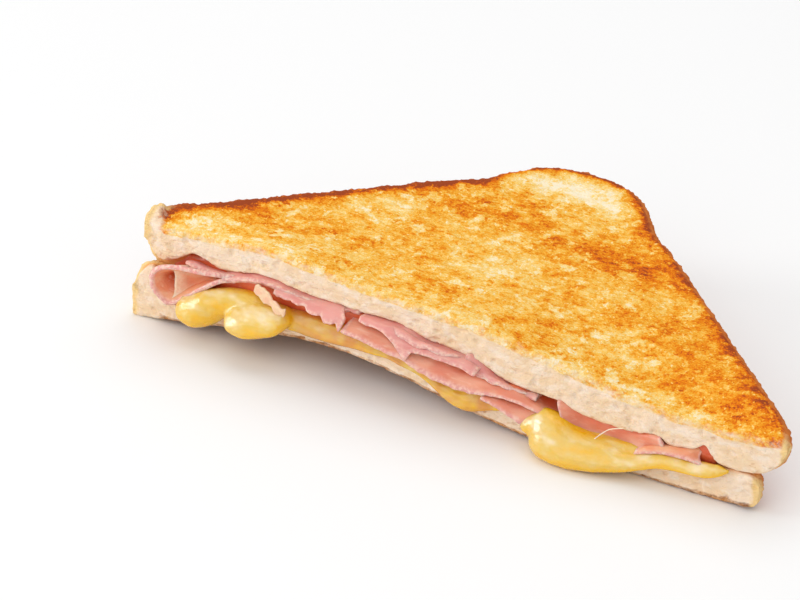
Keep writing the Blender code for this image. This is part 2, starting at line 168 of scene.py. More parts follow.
def rough_at(points: np.ndarray, size: Point | float, seed: float = 0.0, octaves: int = 3) -> np.ndarray:
    """Unevenness at several sizes, each half the one before.

    Args:
        points: Places, one row each.
        size: The largest size, or one for each axis.
        seed: Shifts the pattern.
        octaves: How many sizes.

    Returns:
        The value at each point.
    """
    size = np.asarray(size, float)
    total = np.zeros(len(points))
    for octave in range(octaves):
        total += noise_at(points, size / 2**octave, seed + 7.3 * octave) / 2**octave
    return total


def linked(name: str, data: bpy.types.ID) -> Piece:
    """Puts a new object into the scene.

    Args:
        name: The object's name.
        data: Its mesh, curve, lamp or camera.

    Returns:
        The object.
    """
    obj = bpy.data.objects.new(name, data)
    bpy.context.scene.collection.objects.link(obj)
    return obj


@contextmanager
def editing(mesh: bpy.types.Mesh) -> Iterator[bmesh.types.BMesh]:
    """Opens a mesh for editing and writes it back at the end.

    Args:
        mesh: The mesh.

    Yields:
        The form that can be edited.
    """
    shape = bmesh.new()
    shape.from_mesh(mesh)
    yield shape
    shape.to_mesh(mesh)
    shape.free()


@dataclass(frozen=True)
class Fade:
    """A soft step from 0 at its start to 1 a width further on, or the other way for a width below 0."""

    start: float
    width: float

    def at(self, place: Number) -> np.ndarray:
        """How far the step has risen at a place."""
        return smooth_step((place - self.start) / self.width)

    def gone(self, place: Number) -> np.ndarray:
        """What is left at a place of something that the step takes away."""
        return 1 - self.at(place)


@dataclass(frozen=True)
class Relief:
    """An uneven surface: the size of its swellings along each axis and their depth, in millimetres."""

    size: Point
    depth: float
    seed: float
    octaves: int = 3

    def form(self, points: np.ndarray) -> np.ndarray:
        """The unevenness at each point, between about -1 and 1."""
        return rough_at(points, self.size, self.seed, self.octaves)

    def rise(self, points: np.ndarray) -> np.ndarray:
        """How far the surface rises at each point."""
        return self.depth * self.form(points)


@dataclass(frozen=True)
class SlicePlan:
    """The outline of a square slice of bread that is cut from corner to corner."""

    left: Pair = (-83.0, 0.0)
    right: Pair = (81.8, 0.0)
    back: Pair = (-2.5, 84.3)
    tip_radius: float = 9.0
    back_radius: float = 21.0
    shoulder_bulge: float = 1.7
    shoulder_length: float = 30.0
    shoulder_lead: float = 0.7
    shoulder_notch: float = 0.9
    notch_length: float = 5.0
    step: float = 1.0

    def angles(self) -> Pair:
        """The bread's angles at the ends of the cut.

        Returns:
            The angle at the right end and the one at the left.
        """
        right = math.atan2(self.back[1], self.right[0] - self.back[0])
        left = math.atan2(self.back[1], self.back[0] - self.left[0])
        return right, left

    def arc(self, centre: Pair, radius: float, start: float, end: float) -> Outline:
        """Points along an arc.

        Args:
            centre: The arc's centre.
            radius: The arc's radius.
            start: Angle of the first point.
            end: Angle of the last point.

        Returns:
            The points, first to last.
        """
        steps = max(2, round(abs(end - start) * radius / self.step))
        turns = np.linspace(start, end, steps + 1)
        return [(centre[0] + radius * math.cos(a), centre[1] + radius * math.sin(a)) for a in turns]

    def back_centre(self) -> Pair:
        """Finds the centre of the rounded back corner.

        Returns:
            Its place on the slice.
        """
        right, left = self.angles()
        reach = self.back_radius / math.sin((math.pi - right - left) / 2)
        lean = math.pi / 2 + (left - right) / 2
        return self.back[0] - reach * math.cos(lean), self.back[1] - reach * math.sin(lean)

    def outline(self) -> Outline:
        """Draws the outline of the slice.

        Returns:
            Its points, from the right tip over the back corner to the left tip.
        """
        right, left = self.angles()
        right_centre = (self.right[0] - self.tip_radius / math.sin(right), 0.0)
        left_centre = (self.left[0] + self.tip_radius / math.sin(left), 0.0)
        turns = (
            self.arc(right_centre, self.tip_radius, 0.0, math.pi / 2 - right)
            + self.arc(self.back_centre(), self.back_radius, math.pi / 2 - right, math.pi / 2 + left)
            + self.arc(left_centre, self.tip_radius, math.pi / 2 + left, math.pi)
        )
        points = []
        for (x0, y0), (x1, y1) in zip(turns, turns[1:]):
            steps = max(1, round(math.hypot(x1 - x0, y1 - y0) / self.step))
            points += [(x0 + (x1 - x0) * i / steps, y0 + (y1 - y0) * i / steps) for i in range(steps)]
        return [self.shouldered(point) for point in points + turns[-1:]]

    def shouldered(self, point: Pair) -> Pair:
        """Swells the outline round the back corner, with a slight waist beside the swelling.

        Args:
            point: A point of the plain outline.

        Returns:
            The point of the real one.
        """
        centre = self.back_centre()
        away = Vector((point[0] - centre[0], point[1] - centre[1]))
        from_corner = math.hypot(point[0] - self.back[0], point[1] - self.back[1])
        share = 2 * (self.back_radius - from_corner) / self.shoulder_length + self.shoulder_lead
        swell = self.shoulder_bulge * float(smooth_step(share))
        waist_place = self.shoulder_length + self.notch_length
        waist = self.shoulder_notch * float(bell(np.array(from_corner), waist_place, self.notch_length))
        moved = away.normalized() * (swell - waist)
        return point[0] + moved.x, point[1] + moved.y

    def crust_distance(self, x: np.ndarray, y: np.ndarray, outline: Outline) -> np.ndarray:
        """Distance in from the crusted sides, which leaves out the cut.

        Args:
            x: Places along the cut.
            y: Places behind the cut.
            outline: The outline's points.

        Returns:
            The distance at each place.
        """
        ends = np.array(outline)
        nearest = np.full(len(x), np.inf)
        for start, end in zip(ends, ends[1:]):
            run = end - start
            t = np.clip(((x - start[0]) * run[0] + (y - start[1]) * run[1]) / (run @ run), 0, 1)
            nearest = np.minimum(nearest, np.hypot(x - start[0] - t * run[0], y - start[1] - t * run[1]))
        return nearest


@dataclass(frozen=True)
class Layers:
    """The heights of each layer, along the cut and behind it.

    A line at the cut is a row of stations, each a place along the cut and the height there.
    A level is the height at the middle of the cut, with its rise along X and along Y.
    """

    top_cut: Stations = (
        (-78, 25.6), (-66, 25.8), (-50, 27.4), (-20, 25.2), (6, 24.0), (30, 20.6), (52, 17.8), (66, 18.0),
        (79, 19.2),
    )
    upper_cut: Stations = (
        (-79, 20.5), (-75, 16.4), (-71, 17.6), (-66, 20.4), (-60, 18.6), (-48, 20.2), (-38, 19.1),
        (-24, 18.7), (-11, 18.2), (-7.3, 17.1), (0, 16.4), (6, 15.4), (11.4, 13.2), (16.3, 12.2),
        (25, 11.9), (31.7, 10.2), (37.6, 9.9), (43.6, 10.0), (48.6, 11.0), (51.2, 9.7), (57.0, 10.3),
        (64.2, 8.5), (69, 8.7), (73, 9.8), (76, 12.4), (79, 16.6),
    )
    lower_cut: Stations = (
        (-83, 7.0), (-80, 12.0), (-77, 14.2), (-74, 9.5), (-71, 6.2), (-60, 8.0), (-42, 11.6), (-27, 11.4),
        (-12, 9.8), (0, 8.2), (14, 6.0), (28, 5.6), (40, 5.8), (58, 6.8), (66, 8.2), (76, 8.6),
    )
    under_cut: Stations = (
        (-80, 0.0), (-74, 1.0), (-55, 4.6), (-40, 7.0), (-27, 7.4), (-12, 5.6), (0, 3.2), (15, 1.0),
        (26, 0.0), (60, 0.0), (76, 0.9),
    )
    top_level: Point = (23.6, -0.045, 0.036)
    seam_level: Point = (10.9, -0.027, 0.020)
    upper_thickness: float = 9.0
    lower_inner: float = 8.0
    top_blend: float = 44.0
    top_blend_least: float = 9.0
    tip_reach: float = 84.0
    inner_blend: float = 24.0
    arch_depth: float = 38.0
    rim_rise: float = 0.5
    seam_gap: float = 1.0
    ear_level: float = 28.4
    ear_fall: float = 2.2
    ear_round: float = 3.4
    ear_end: float = -73.8
    ear_slope: float = 1.2
    ear_lean: float = 0.5
    ear_depth: float = 11.0
    ear_hold: float = 0.6
    tip_start: float = 73.0
    tip_length: float = 8.0
    tip_rise: float = 5.0
    bite_place: float = 59.6
    bite_width: float = 1.7
    bite_height: float = 2.4
    clearance: float = 0.35
    cheese_thickness: float = 1.9
    thin_cheese: float = 1.1
    thinning: Fade = Fade(2.0, 7.0)
    ham_thickness: float = 1.2
    filling_inset: float = 16.0
    filling_depth: float = 62.0
    least_depth: float = 2.5
    plan: SlicePlan = field(default_factory=SlicePlan)

    def plane(self, level: Point, x: np.ndarray, y: np.ndarray) -> np.ndarray:
        """The height of a sloping level behind the cut."""
        return level[0] + level[1] * x + level[2] * y

    def top_face(self, x: np.ndarray, y: np.ndarray, rim: np.ndarray) -> np.ndarray:
        """The toasted face, with the ear of crust that stands up at the left end of the cut.

        Args:
            x: Places along the cut.
            y: Places behind the cut.
            rim: How much of the crust's form each place has.

        Returns:
            The height at each place.
        """
        blend = np.maximum(self.top_blend * (1 - np.abs(x) / self.tip_reach), self.top_blend_least)
        flat = self.plane(self.top_level, x, y)
        level = mix(along(x, self.top_cut), flat, smooth_step(y / blend)) + self.rim_rise * rim
        ear = smooth_step((self.ear_end - x - self.ear_lean * y) / self.ear_slope)
        ear = ear * (1 - smooth_step(2 * y / self.ear_depth - self.ear_hold))
        crest = self.ear_level - self.ear_fall * (1 - smooth_step(y / self.ear_round))
        return mix(level, np.maximum(level, crest), ear)

    def upper_underside(self, x: np.ndarray, y: np.ndarray, rim: Number) -> np.ndarray:
        """The face of the upper slice that lies on the filling.

        Args:
            x: Places along the cut.
            y: Places behind the cut.
            rim: How much of the crust's form each place has.

        Returns:
            The height at each place.
        """
        cut = along(x, self.upper_cut) + self.bite_height * bell(x, self.bite_place, self.bite_width)
        back = self.plane(self.top_level, x, y) - self.upper_thickness
        inner = mix(cut, back, smooth_step(y / self.inner_blend))
        tip = self.tip_rise * smooth_step((x - self.tip_start) / self.tip_length)
        return mix(inner, self.plane(self.seam_level, x, y) + self.seam_gap / 2 + tip, rim)

    def lower_face(self, x: np.ndarray, y: np.ndarray, rim: Number) -> np.ndarray:
        """The face of the lower slice that the filling lies on.

        Args:
            x: Places along the cut.
            y: Places behind the cut.
            rim: How much of the crust's form each place has.

        Returns:
            The height at each place.
        """
        inner = mix(along(x, self.lower_cut), self.lower_inner, smooth_step(y / self.inner_blend))
        return mix(inner, self.plane(self.seam_level, x, y) - self.seam_gap / 2, rim)

    def lower_underside(self, x: np.ndarray, y: np.ndarray) -> np.ndarray:
        """The face that lies on the table, arched up along the left of the cut."""
        return along(x, self.under_cut) * (1 - smooth_step(y / self.arch_depth))

    def cheese_top(self, x: np.ndarray, y: np.ndarray) -> np.ndarray:
        """The upper face of the cheese, which is thinner towards the right."""
        thickness = mix(self.cheese_thickness, self.thin_cheese, self.thinning.at(x))
        return self.lower_face(x, np.clip(y, 0, None), 0.0) + self.clearance + thickness

    def under_bread(self, x: np.ndarray, y: np.ndarray) -> np.ndarray:
        """The level of a ham slice that is pressed against the upper slice of bread."""
        return self.upper_underside(x, np.clip(y, 0, None), 0.0) - self.ham_thickness / 2

    def filling_reach(self, x: np.ndarray) -> np.ndarray:
        """How far the filling runs in behind the cut.

        Args:
            x: Places along the cut.

        Returns:
            The distance at each place.
        """
        left, right, back = self.plan.left, self.plan.right, self.plan.back
        to_right = (right[0] - x) * back[1] / (right[0] - back[0])
        to_left = (x - left[0]) * back[1] / (back[0] - left[0])
        reach = np.minimum(to_right, to_left) - self.filling_inset
        return np.clip(reach, self.least_depth, self.filling_depth)


class Workshop:
    """Makes, changes and places meshes."""

    def __init__(self, layers: Layers) -> None:
        """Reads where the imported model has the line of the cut.

        Args:
            layers: The sandwich's heights and plan.
        """
        low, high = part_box("bread_top")
        right, _ = layers.plan.angles()
        tip = layers.plan.right[0] - layers.plan.tip_radius / math.sin(right) + layers.plan.tip_radius
        self.origin = np.array((high.x - tip * MM, low.y, 0.0))

    def shown_mesh(self, obj: Piece) -> bpy.types.Mesh:
        """A new mesh with what an object shows once its modifiers have run."""
        return bpy.data.meshes.new_from_object(obj.evaluated_get(bpy.context.evaluated_depsgraph_get()))

    def applied(self, obj: Piece) -> Piece:
        """Applies an object's modifiers to its mesh.

        Args:
            obj: The mesh object.

        Returns:
            The same object.
        """
        mesh = self.shown_mesh(obj)
        obj.modifiers.clear()
        old, obj.data = obj.data, mesh
        bpy.data.meshes.remove(old)
        return obj

    def rows_of(self, items: bpy.types.bpy_prop_collection, name: str) -> np.ndarray:
        """Reads three numbers from each item of a mesh.

        Args:
            items: The vertices, normals or faces.
            name: What is read.

        Returns:
            The numbers, one row for each item.
        """
        numbers = np.empty(len(items) * 3, np.float32)
        items.foreach_get(name, numbers)
        return numbers.reshape(-1, 3).astype(float)

    def points_of(self, obj: Piece) -> np.ndarray:
        """The places of a mesh's vertices, one row each."""
        return self.rows_of(obj.data.vertices, "co")

    def normals_of(self, obj: Piece) -> np.ndarray:
        """The directions that a mesh's vertices face, one row each."""
        return self.rows_of(obj.data.vertex_normals, "vector")

    def put_points(self, obj: Piece, points: np.ndarray) -> None:
        """Moves a mesh's vertices to new places."""
        obj.data.vertices.foreach_set("co", np.ascontiguousarray(points, np.float32).ravel())
        obj.data.update()

    def mark(self, obj: Piece, name: str, values: np.ndarray) -> None:
        """Stores one number for each vertex, which the finish reads by its name."""
        layer = obj.data.attributes.new(name, "FLOAT", "POINT")
        layer.data.foreach_set("value", np.ascontiguousarray(values, np.float32))

    def drawn(self, name: str, curve: bpy.types.Curve, points: Sequence[Point], closed: bool) -> Piece:
        """Makes the mesh that a curve shows.

        Args:
            name: The object's name.
            curve: A curve without points, which is removed at the end.
            points: The points that it runs through.
            closed: Whether it returns to its start.

        Returns:
            The mesh object.
        """
        spline = curve.splines.new("POLY")
        spline.points.add(len(points) - 1)
        for control, point in zip(spline.points, points):
            control.co = (*point, 1.0)
        spline.use_cyclic_u = closed
        guide = linked(name + "_guide", curve)
        obj = linked(name, self.shown_mesh(guide))
        bpy.data.objects.remove(guide)
        bpy.data.curves.remove(curve)
        return obj

    def flat_slab(self, name: str, outline: Outline, thickness: float) -> Piece:
        """A closed outline, filled and extruded.

        Args:
            name: The object's name.
            outline: The outline's points.
            thickness: The slab's thickness.

        Returns:
            The slab, with its middle on the XY plane.
        """
        curve = bpy.data.curves.new(name + "_outline", "CURVE")
        curve.dimensions = "2D"
        curve.fill_mode = "BOTH"
        curve.extrude = thickness / 2
        obj = self.drawn(name, curve, [(x, y, 0.0) for x, y in outline], closed=True)
        with editing(obj.data) as shape:
            bmesh.ops.remove_doubles(shape, verts=shape.verts, dist=SAME_SPOT)
            bmesh.ops.recalc_face_normals(shape, faces=shape.faces)
        return obj

    def remeshed(self, obj: Piece, voxel: float) -> Piece:
        """Gives an object an even skin of small faces.

        Args:
            obj: The mesh object.
            voxel: The size of the faces.

        Returns:
            The same object.
        """
        skin = obj.modifiers.new("even_skin", "REMESH")
        skin.mode = "VOXEL"
        skin.voxel_size = voxel
        return self.applied(obj)

    def softened(self, obj: Piece, rounds: int) -> Piece:
        """Smooths the surface of an object.

        Args:
            obj: The mesh object.
            rounds: How many times it is smoothed.

        Returns:
            The same object.
        """
        soft = obj.modifiers.new("soft", "SMOOTH")
        soft.iterations = rounds
        return self.applied(obj)

    def refined(self, obj: Piece, chosen: Callable[[np.ndarray], np.ndarray]) -> None:
        """Splits each chosen face in four.

        Args:
            obj: The mesh object.
            chosen: Says of the faces' middles which of the faces are split.
        """
        wanted = np.flatnonzero(chosen(self.rows_of(obj.data.polygons, "center")))
        with editing(obj.data) as shape:
            shape.faces.ensure_lookup_table()
            edges = dict.fromkeys(edge for index in wanted for edge in shape.faces[index].edges)
            bmesh.ops.subdivide_edges(shape, edges=list(edges), cuts=1, use_grid_fill=True)

    def carried(self, obj: Piece) -> Piece:
        """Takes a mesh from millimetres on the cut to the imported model's frame.

        Args:
            obj: The mesh object.

        Returns:
            The same object.
        """
        self.put_points(obj, self.points_of(obj) * MM + self.origin)
        obj.data.shade_smooth()
        return obj

    def triangles(self, obj: Piece) -> int:
        """How many triangles a mesh has."""
        obj.data.calc_loop_triangles()
        return len(obj.data.loop_triangles)


def screen(red: int, green: int, blue: int) -> Colour:
    """A colour as a screen shows it, from 0 to 255, as the light that a shader works in."""
    shares = [value / 255 for value in (red, green, blue)]
    return tuple(s / 12.92 if s <= 0.04045 else ((s + 0.055) / 1.055) ** 2.4 for s in shares)


@dataclass(frozen=True)
class Grain:
    """An uneven pattern of a finish.

    Attributes:
        size: How large its patches are along each axis, in millimetres.
        detail: How many finer sizes are added.
        shift: Shifts the pattern.
        strength: How much it counts.
        crisp: How strong the finer sizes are.
        low: The value at which a patch begins.
        high: The value at which a patch is full.
    """

    size: Point
    detail: float
    shift: float
    strength: float = 1.0
    crisp: float = 0.5
    low: float = 0.0
    high: float = 1.0


class Recipe:
    """Builds the nodes of one material."""

    def __init__(self, name: str) -> None:
        """Starts a material with coordinates in millimetres.

        Args:
            name: The material's name.
        """
        self.material = bpy.data.materials.new(name)
        self.material.use_nodes = True
        self.tree = self.material.node_tree
        self.shader = self.tree.nodes["Principled BSDF"]
        coordinates = self.tree.nodes.new("ShaderNodeTexCoord")
        scaled = self.tree.nodes.new("ShaderNodeVectorMath")
        scaled.operation = "SCALE"
        scaled.inputs["Scale"].default_value = 1 / MM
        self.tree.links.new(coordinates.outputs["Object"], scaled.inputs[0])
        self.place = scaled.outputs[0]

    def feed(self, socket: Socket, value: Socket | float | Sequence[float]) -> None:
        """Links a socket to another, or sets its value.

        Args:
            socket: The socket that is fed.
            value: Another socket, a number, or the parts of a colour or place.
        """
        if isinstance(value, Socket):
            self.tree.links.new(value, socket)
        elif isinstance(value, (int, float)):
            socket.default_value = value
        else:
            socket.default_value = (*value, 1.0) if len(socket.default_value) == 4 else value

    def calc(self, operation: str, first: Socket | float, second: Socket | float) -> Socket:
        """Joins two numbers by one operation.

        Args:
            operation: The operation's name in capitals.
            first: The first number.
            second: The second number.

        Returns:
            The result.
        """
        node = self.tree.nodes.new("ShaderNodeMath")
        node.operation = operation
        self.feed(node.inputs[0], first)
        self.feed(node.inputs[1], second)
        return node.outputs[0]

    def noise(self, grain: Grain, turn: float = 0.0) -> Socket:
        """Uneven patches.

        Args:
            grain: The pattern.
            turn: Turns the pattern about Z, in degrees.

        Returns:
            A value from 0 to 1.
        """
        mapping = self.tree.nodes.new("ShaderNodeMapping")
        mapping.vector_type = "TEXTURE"
        self.feed(mapping.inputs["Vector"], self.place)
        self.feed(mapping.inputs["Location"], (grain.shift,) * 3)
        self.feed(mapping.inputs["Rotation"], (0.0, 0.0, math.radians(turn)))
        self.feed(mapping.inputs["Scale"], grain.size)
        node = self.tree.nodes.new("ShaderNodeTexNoise")
        self.feed(node.inputs["Vector"], mapping.outputs[0])
        self.feed(node.inputs["Scale"], 1.0)
        self.feed(node.inputs["Detail"], grain.detail)
        self.feed(node.inputs["Roughness"], grain.crisp)
        return node.outputs[0]

    def centred(self, grain: Grain, turn: float = 0.0) -> Socket:
        """A pattern at its strength that adds as much as it takes away."""
        return self.calc("MULTIPLY", self.calc("SUBTRACT", self.noise(grain, turn), 0.5), grain.strength)

    def patches(self, grain: Grain, turn: float = 0.0) -> Socket:
        """A pattern's patches at their strength, with nothing between them."""
        shares = self.ramp(self.noise(grain, turn), grain.low, grain.high)
        return self.calc("MULTIPLY", shares, grain.strength)

    def ramp(self, value: Socket, low: float, high: float) -> Socket:
        """A soft ramp.

        Args:
            value: The value that is read.
            low: Where the ramp is still 0.
            high: Where it has come to 1.

        Returns:
            The ramp's height.
        """
        node = self.tree.nodes.new("ShaderNodeMapRange")
        node.interpolation_type = "SMOOTHSTEP"
        self.feed(node.inputs["Value"], value)
        for name, limit in (("From Min", low), ("From Max", high), ("To Min", 0.0), ("To Max", 1.0)):
            node.inputs[name].default_value = limit
        return node.outputs[0]

    def blend(self, share: Socket | float, first: Socket | Colour, second: Socket | Colour) -> Socket:
        """A colour between two others.

        Args:
            share: How much of the second colour there is, from 0 to 1.
            first: The first colour.
            second: The second colour.

        Returns:
            The colour.
        """
        node = self.tree.nodes.new("ShaderNodeMix")
        node.data_type = "RGBA"
        self.feed(node.inputs[0], share)
        self.feed(node.inputs[6], first)
        self.feed(node.inputs[7], second)
        return node.outputs[2]

    def stops(self, value: Socket, colours: tuple[tuple[float, Colour], ...]) -> Socket:
        """A colour read from a row of stops.

        Args:
            value: Where the colour is read, from 0 to 1.
            colours: The place and colour of each stop, in rising order.

        Returns:
            The colour.
        """
        node = self.tree.nodes.new("ShaderNodeValToRGB")
        band = node.color_ramp.elements
        for place, _ in colours[1:-1]:
            band.new(place)
        for stop, (place, colour) in zip(band, colours):
            stop.position = place
            stop.color = (*colour, 1.0)
        self.feed(node.inputs["Fac"], value)
        return node.outputs["Color"]

    def mark(self, name: str) -> Socket:
        """A number stored on the mesh.

        Args:
            name: The name that it was stored under.

        Returns:
            The number.
        """
        node = self.tree.nodes.new("ShaderNodeAttribute")
        node.attribute_name = name
        return node.outputs["Fac"]

    def bump(self, height: Socket, depth: float) -> None:
        """Raises the surface's shading.

        Args:
            height: The height of each place, from 0 to 1.
            depth: What a height of 1 stands for, in millimetres.
        """
        node = self.tree.nodes.new("ShaderNodeBump")
        node.inputs["Distance"].default_value = depth * MM
        self.feed(node.inputs["Height"], height)
        self.feed(self.shader.inputs["Normal"], node.outputs[0])

    def set(self, **values: Socket | float | Sequence[float]) -> None:
        """Sets or links the shader's sockets, named with underscores."""
        for name, value in values.items():
            self.feed(self.shader.inputs[name.replace("_", " ")], value)

    def flesh(self, weight: float, reach: Point) -> None:
        """Lets light into the surface.

        Args:
            weight: How much of the light goes in.
            reach: How deep each colour goes, in millimetres.
        """
        self.shader.inputs["Subsurface Weight"].default_value = weight
        self.shader.inputs["Subsurface Radius"].default_value = reach
        self.shader.inputs["Subsurface Scale"].default_value = MM

    def apply(self, obj: Piece) -> None:
        """Gives an object the finished material alone."""
        obj.data.materials.clear()
        obj.data.materials.append(self.material)


@dataclass(frozen=True)
class BreadFinish:
    """Toasted bread: golden and brown on the toasted face with painted glints and painted shade, cream crumb
    at the cut with a painted warm shade towards the filling, brown crust beside it.
    """

    name: str
    crumb: Colour = screen(248, 223, 196)
    crumb_warm: Colour = screen(240, 202, 148)
    crumb_pale: Colour = screen(252, 234, 216)
    crumb_mark: Colour = screen(206, 158, 92)
    # painted warm shade: the crumb's colour where it faces the filling
    painted_warm_shade: Colour = screen(236, 172, 106)
    toast_stops: tuple[tuple[float, Colour], ...] = (
        (0.00, screen(254, 238, 206)),
        (0.18, screen(253, 224, 160)),
        (0.36, screen(250, 204, 108)),
        (0.52, screen(246, 178, 62)),
        (0.66, screen(238, 148, 34)),
        (0.80, screen(226, 114, 26)),
        (0.91, screen(202, 92, 34)),
        (1.00, screen(160, 74, 42)),
    )
    crust: Colour = screen(214, 126, 64)
    dark_crust: Colour = screen(162, 76, 42)
    ochre: Colour = screen(244, 208, 146)
    streak_turn: float = 10.0
    toast_level: float = 0.50
    toast_grains: tuple[Grain, ...] = (
        Grain((14, 12, 8), 3.0, 3.0, 0.42),
        Grain((4.6, 3.6, 3.6), 5.0, 11.0, 0.92, 0.62),
        Grain((1.4, 1.0, 0.9), 3.0, 31.0, 0.85, 0.7),
        Grain((0.46, 0.38, 0.4), 2.0, 77.0, 0.70, 0.7),
    )
    # brown patches, browner spots and pale flakes, then fine pale specks that are painted glints of buttery
    # gloss
    toast_patches_and_glints: tuple[Grain, ...] = (
        Grain((4.4, 4.8, 3.0), 5.0, 57.0, 0.12, 0.6, 0.57, 0.62),
        Grain((1.5, 1.5, 1.2), 3.0, 45.0, 0.13, 0.6, 0.63, 0.68),
        Grain((4.2, 4.8, 3.0), 5.0, 91.0, -0.23, 0.6, 0.57, 0.61),
        Grain((0.8, 1.0, 0.8), 3.0, 67.0, -0.25, 0.6, 0.62, 0.66),
    )
    crumb_clouds: Grain = Grain((6, 6, 3.4), 5.0, 5.0, 0.4, low=0.40, high=0.62)
    crumb_lights: Grain = Grain((3.2, 3.2, 2.0), 4.0, 37.0, 0.6, low=0.50, high=0.64)
    crumb_dashes: Grain = Grain((1.3, 1.3, 0.7), 3.0, 17.0, 0.35, low=0.63, high=0.72)
    toast_edge: Grain = Grain((2.4, 1.4, 1.4), 6.0, 41.0, 5.0, 0.65, -1.0, 1.4)
    crust_edge: Grain = Grain((2.0, 2.0, 2.0), 5.0, 23.0, 2.4, 0.5, 1.2, 2.4)
    crust_clouds: Grain = Grain((3.0, 3.0, 1.8), 5.0, 53.0, 1.0, 0.6, 0.36, 0.98)
    ochre_edge: Pair = (0.5, 4.0)
    ochre_retreat: float = 12.0
    butter: Grain = Grain((1.4, 0.8, 0.8), 4.0, 83.0, 0.3, 0.6, 0.57, 0.64)
    dryness: float = 0.9
    coarse_relief: Grain = Grain((1.5, 0.9, 0.9), 4.0, 61.0)
    fine_relief: Grain = Grain((0.5, 0.35, 0.35), 2.0, 71.0, 0.5)
    relief_depth: float = 0.5
    glow: float = 0.12
    glow_reach: Point = (1.0, 0.6, 0.3)

    def toast(self, recipe: Recipe) -> Socket:
        """The toasted face's colour, with painted glints and a painted shade that follows its relief.

        Args:
            recipe: The nodes that it is added to.

        Returns:
            The colour.
        """
        layers = [recipe.centred(grain, self.streak_turn) for grain in self.toast_grains]
        # the relief mark is painted shade that follows the relief; browning is the toast's own darker bands
        # and patches
        layers += [recipe.mark("relief"), recipe.mark("browning")]
        layers += [recipe.patches(grain, self.streak_turn) for grain in self.toast_patches_and_glints]
        level: Socket | float = self.toast_level
        for layer in layers:
            level = recipe.calc("ADD", layer, level)
        return recipe.stops(level, self.toast_stops)

    def crumb_colour(self, recipe: Recipe) -> Socket:
        """The crumb's colour, with a painted warm shade on the face towards the filling.

        Args:
            recipe: The nodes that it is added to.

        Returns:
            The colour.
        """
        colour = recipe.blend(recipe.patches(self.crumb_clouds), self.crumb, self.crumb_warm)
        colour = recipe.blend(recipe.patches(self.crumb_lights), colour, self.crumb_pale)
        colour = recipe.blend(recipe.patches(self.crumb_dashes), colour, self.crumb_mark)
        # painted warm shade on the crumb face towards the filling, where the inner mark is 1
        return recipe.blend(recipe.mark("inner"), colour, self.painted_warm_shade)

    def crust_colour(self, recipe: Recipe) -> Socket:
        """The crust's colour, ochre next to the cut.

        Args:
            recipe: The nodes that it is added to.

        Returns:
            The colour.
        """
        clouds, baked = self.crust_clouds, recipe.mark("baked")
        darker = recipe.ramp(recipe.calc("ADD", recipe.noise(clouds), baked), clouds.low, clouds.high)
        retreat = recipe.calc("MULTIPLY", baked, self.ochre_retreat)
        from_cut = recipe.calc("SUBTRACT", recipe.mark("cut"), retreat)
        colour = recipe.blend(darker, self.crust, self.dark_crust)
        return recipe.blend(recipe.ramp(from_cut, *self.ochre_edge), self.ochre, colour)

    def edge_share(self, recipe: Recipe, mark: str, grain: Grain, turn: float = 0.0) -> Socket:
        """How far a place is past a ragged edge.

        Args:
            recipe: The nodes that it is added to.
            mark: The distance that the edge lies at.
            grain: What makes the edge ragged, and where it begins and ends.
            turn: Turns the raggedness about Z, in degrees.

        Returns:
            A value from 0 to 1.
        """
        distance = recipe.calc("ADD", recipe.mark(mark), recipe.centred(grain, turn))
        return recipe.ramp(distance, grain.low, grain.high)

    def recipe(self) -> Recipe:
        """Puts the finish together.

        Returns:
            The nodes of the finish.
        """
        recipe = Recipe(self.name)
        toasted = self.edge_share(recipe, "toasted", self.toast_edge, self.streak_turn)
        colour = recipe.blend(toasted, self.crumb_colour(recipe), self.toast(recipe))
        crusted = recipe.calc("SUBTRACT", 1.0, self.edge_share(recipe, "rim", self.crust_edge))
        gloss = recipe.calc("MULTIPLY", recipe.patches(self.butter, self.streak_turn), toasted)
        recipe.set(Base_Color=recipe.blend(crusted, colour, self.crust_colour(recipe)))
        recipe.set(Roughness=recipe.calc("SUBTRACT", self.dryness, gloss), Specular_IOR_Level=0.0)
        fine = recipe.calc("MULTIPLY", recipe.noise(self.fine_relief), self.fine_relief.strength)
        coarse = recipe.noise(self.coarse_relief, self.streak_turn)
        recipe.bump(recipe.calc("ADD", coarse, fine), self.relief_depth)
        recipe.flesh(self.glow, self.glow_reach)
        return recipe


PALE_BREAD = BreadFinish(
    "pale_bread",
    toast_level=0.82,
    toast_stops=(
        (0.00, screen(244, 214, 166)),
        (0.40, screen(222, 170, 110)),
        (0.70, screen(186, 124, 72)),
        (1.00, screen(128, 80, 48)),
    ),
)


class Meat(Enum):
    """The kinds of ham that show at the cut."""

    PALE = "pale_ham"
    ROSY = "rosy_ham"
    WARM = "warm_ham"
    CURL = "curled_ham"
    # ham coloured darker and redder as painted shade, for the sheet in the gaps deep in the sandwich
    SHADED = "shaded_ham"
    FAT = "ham_fat"


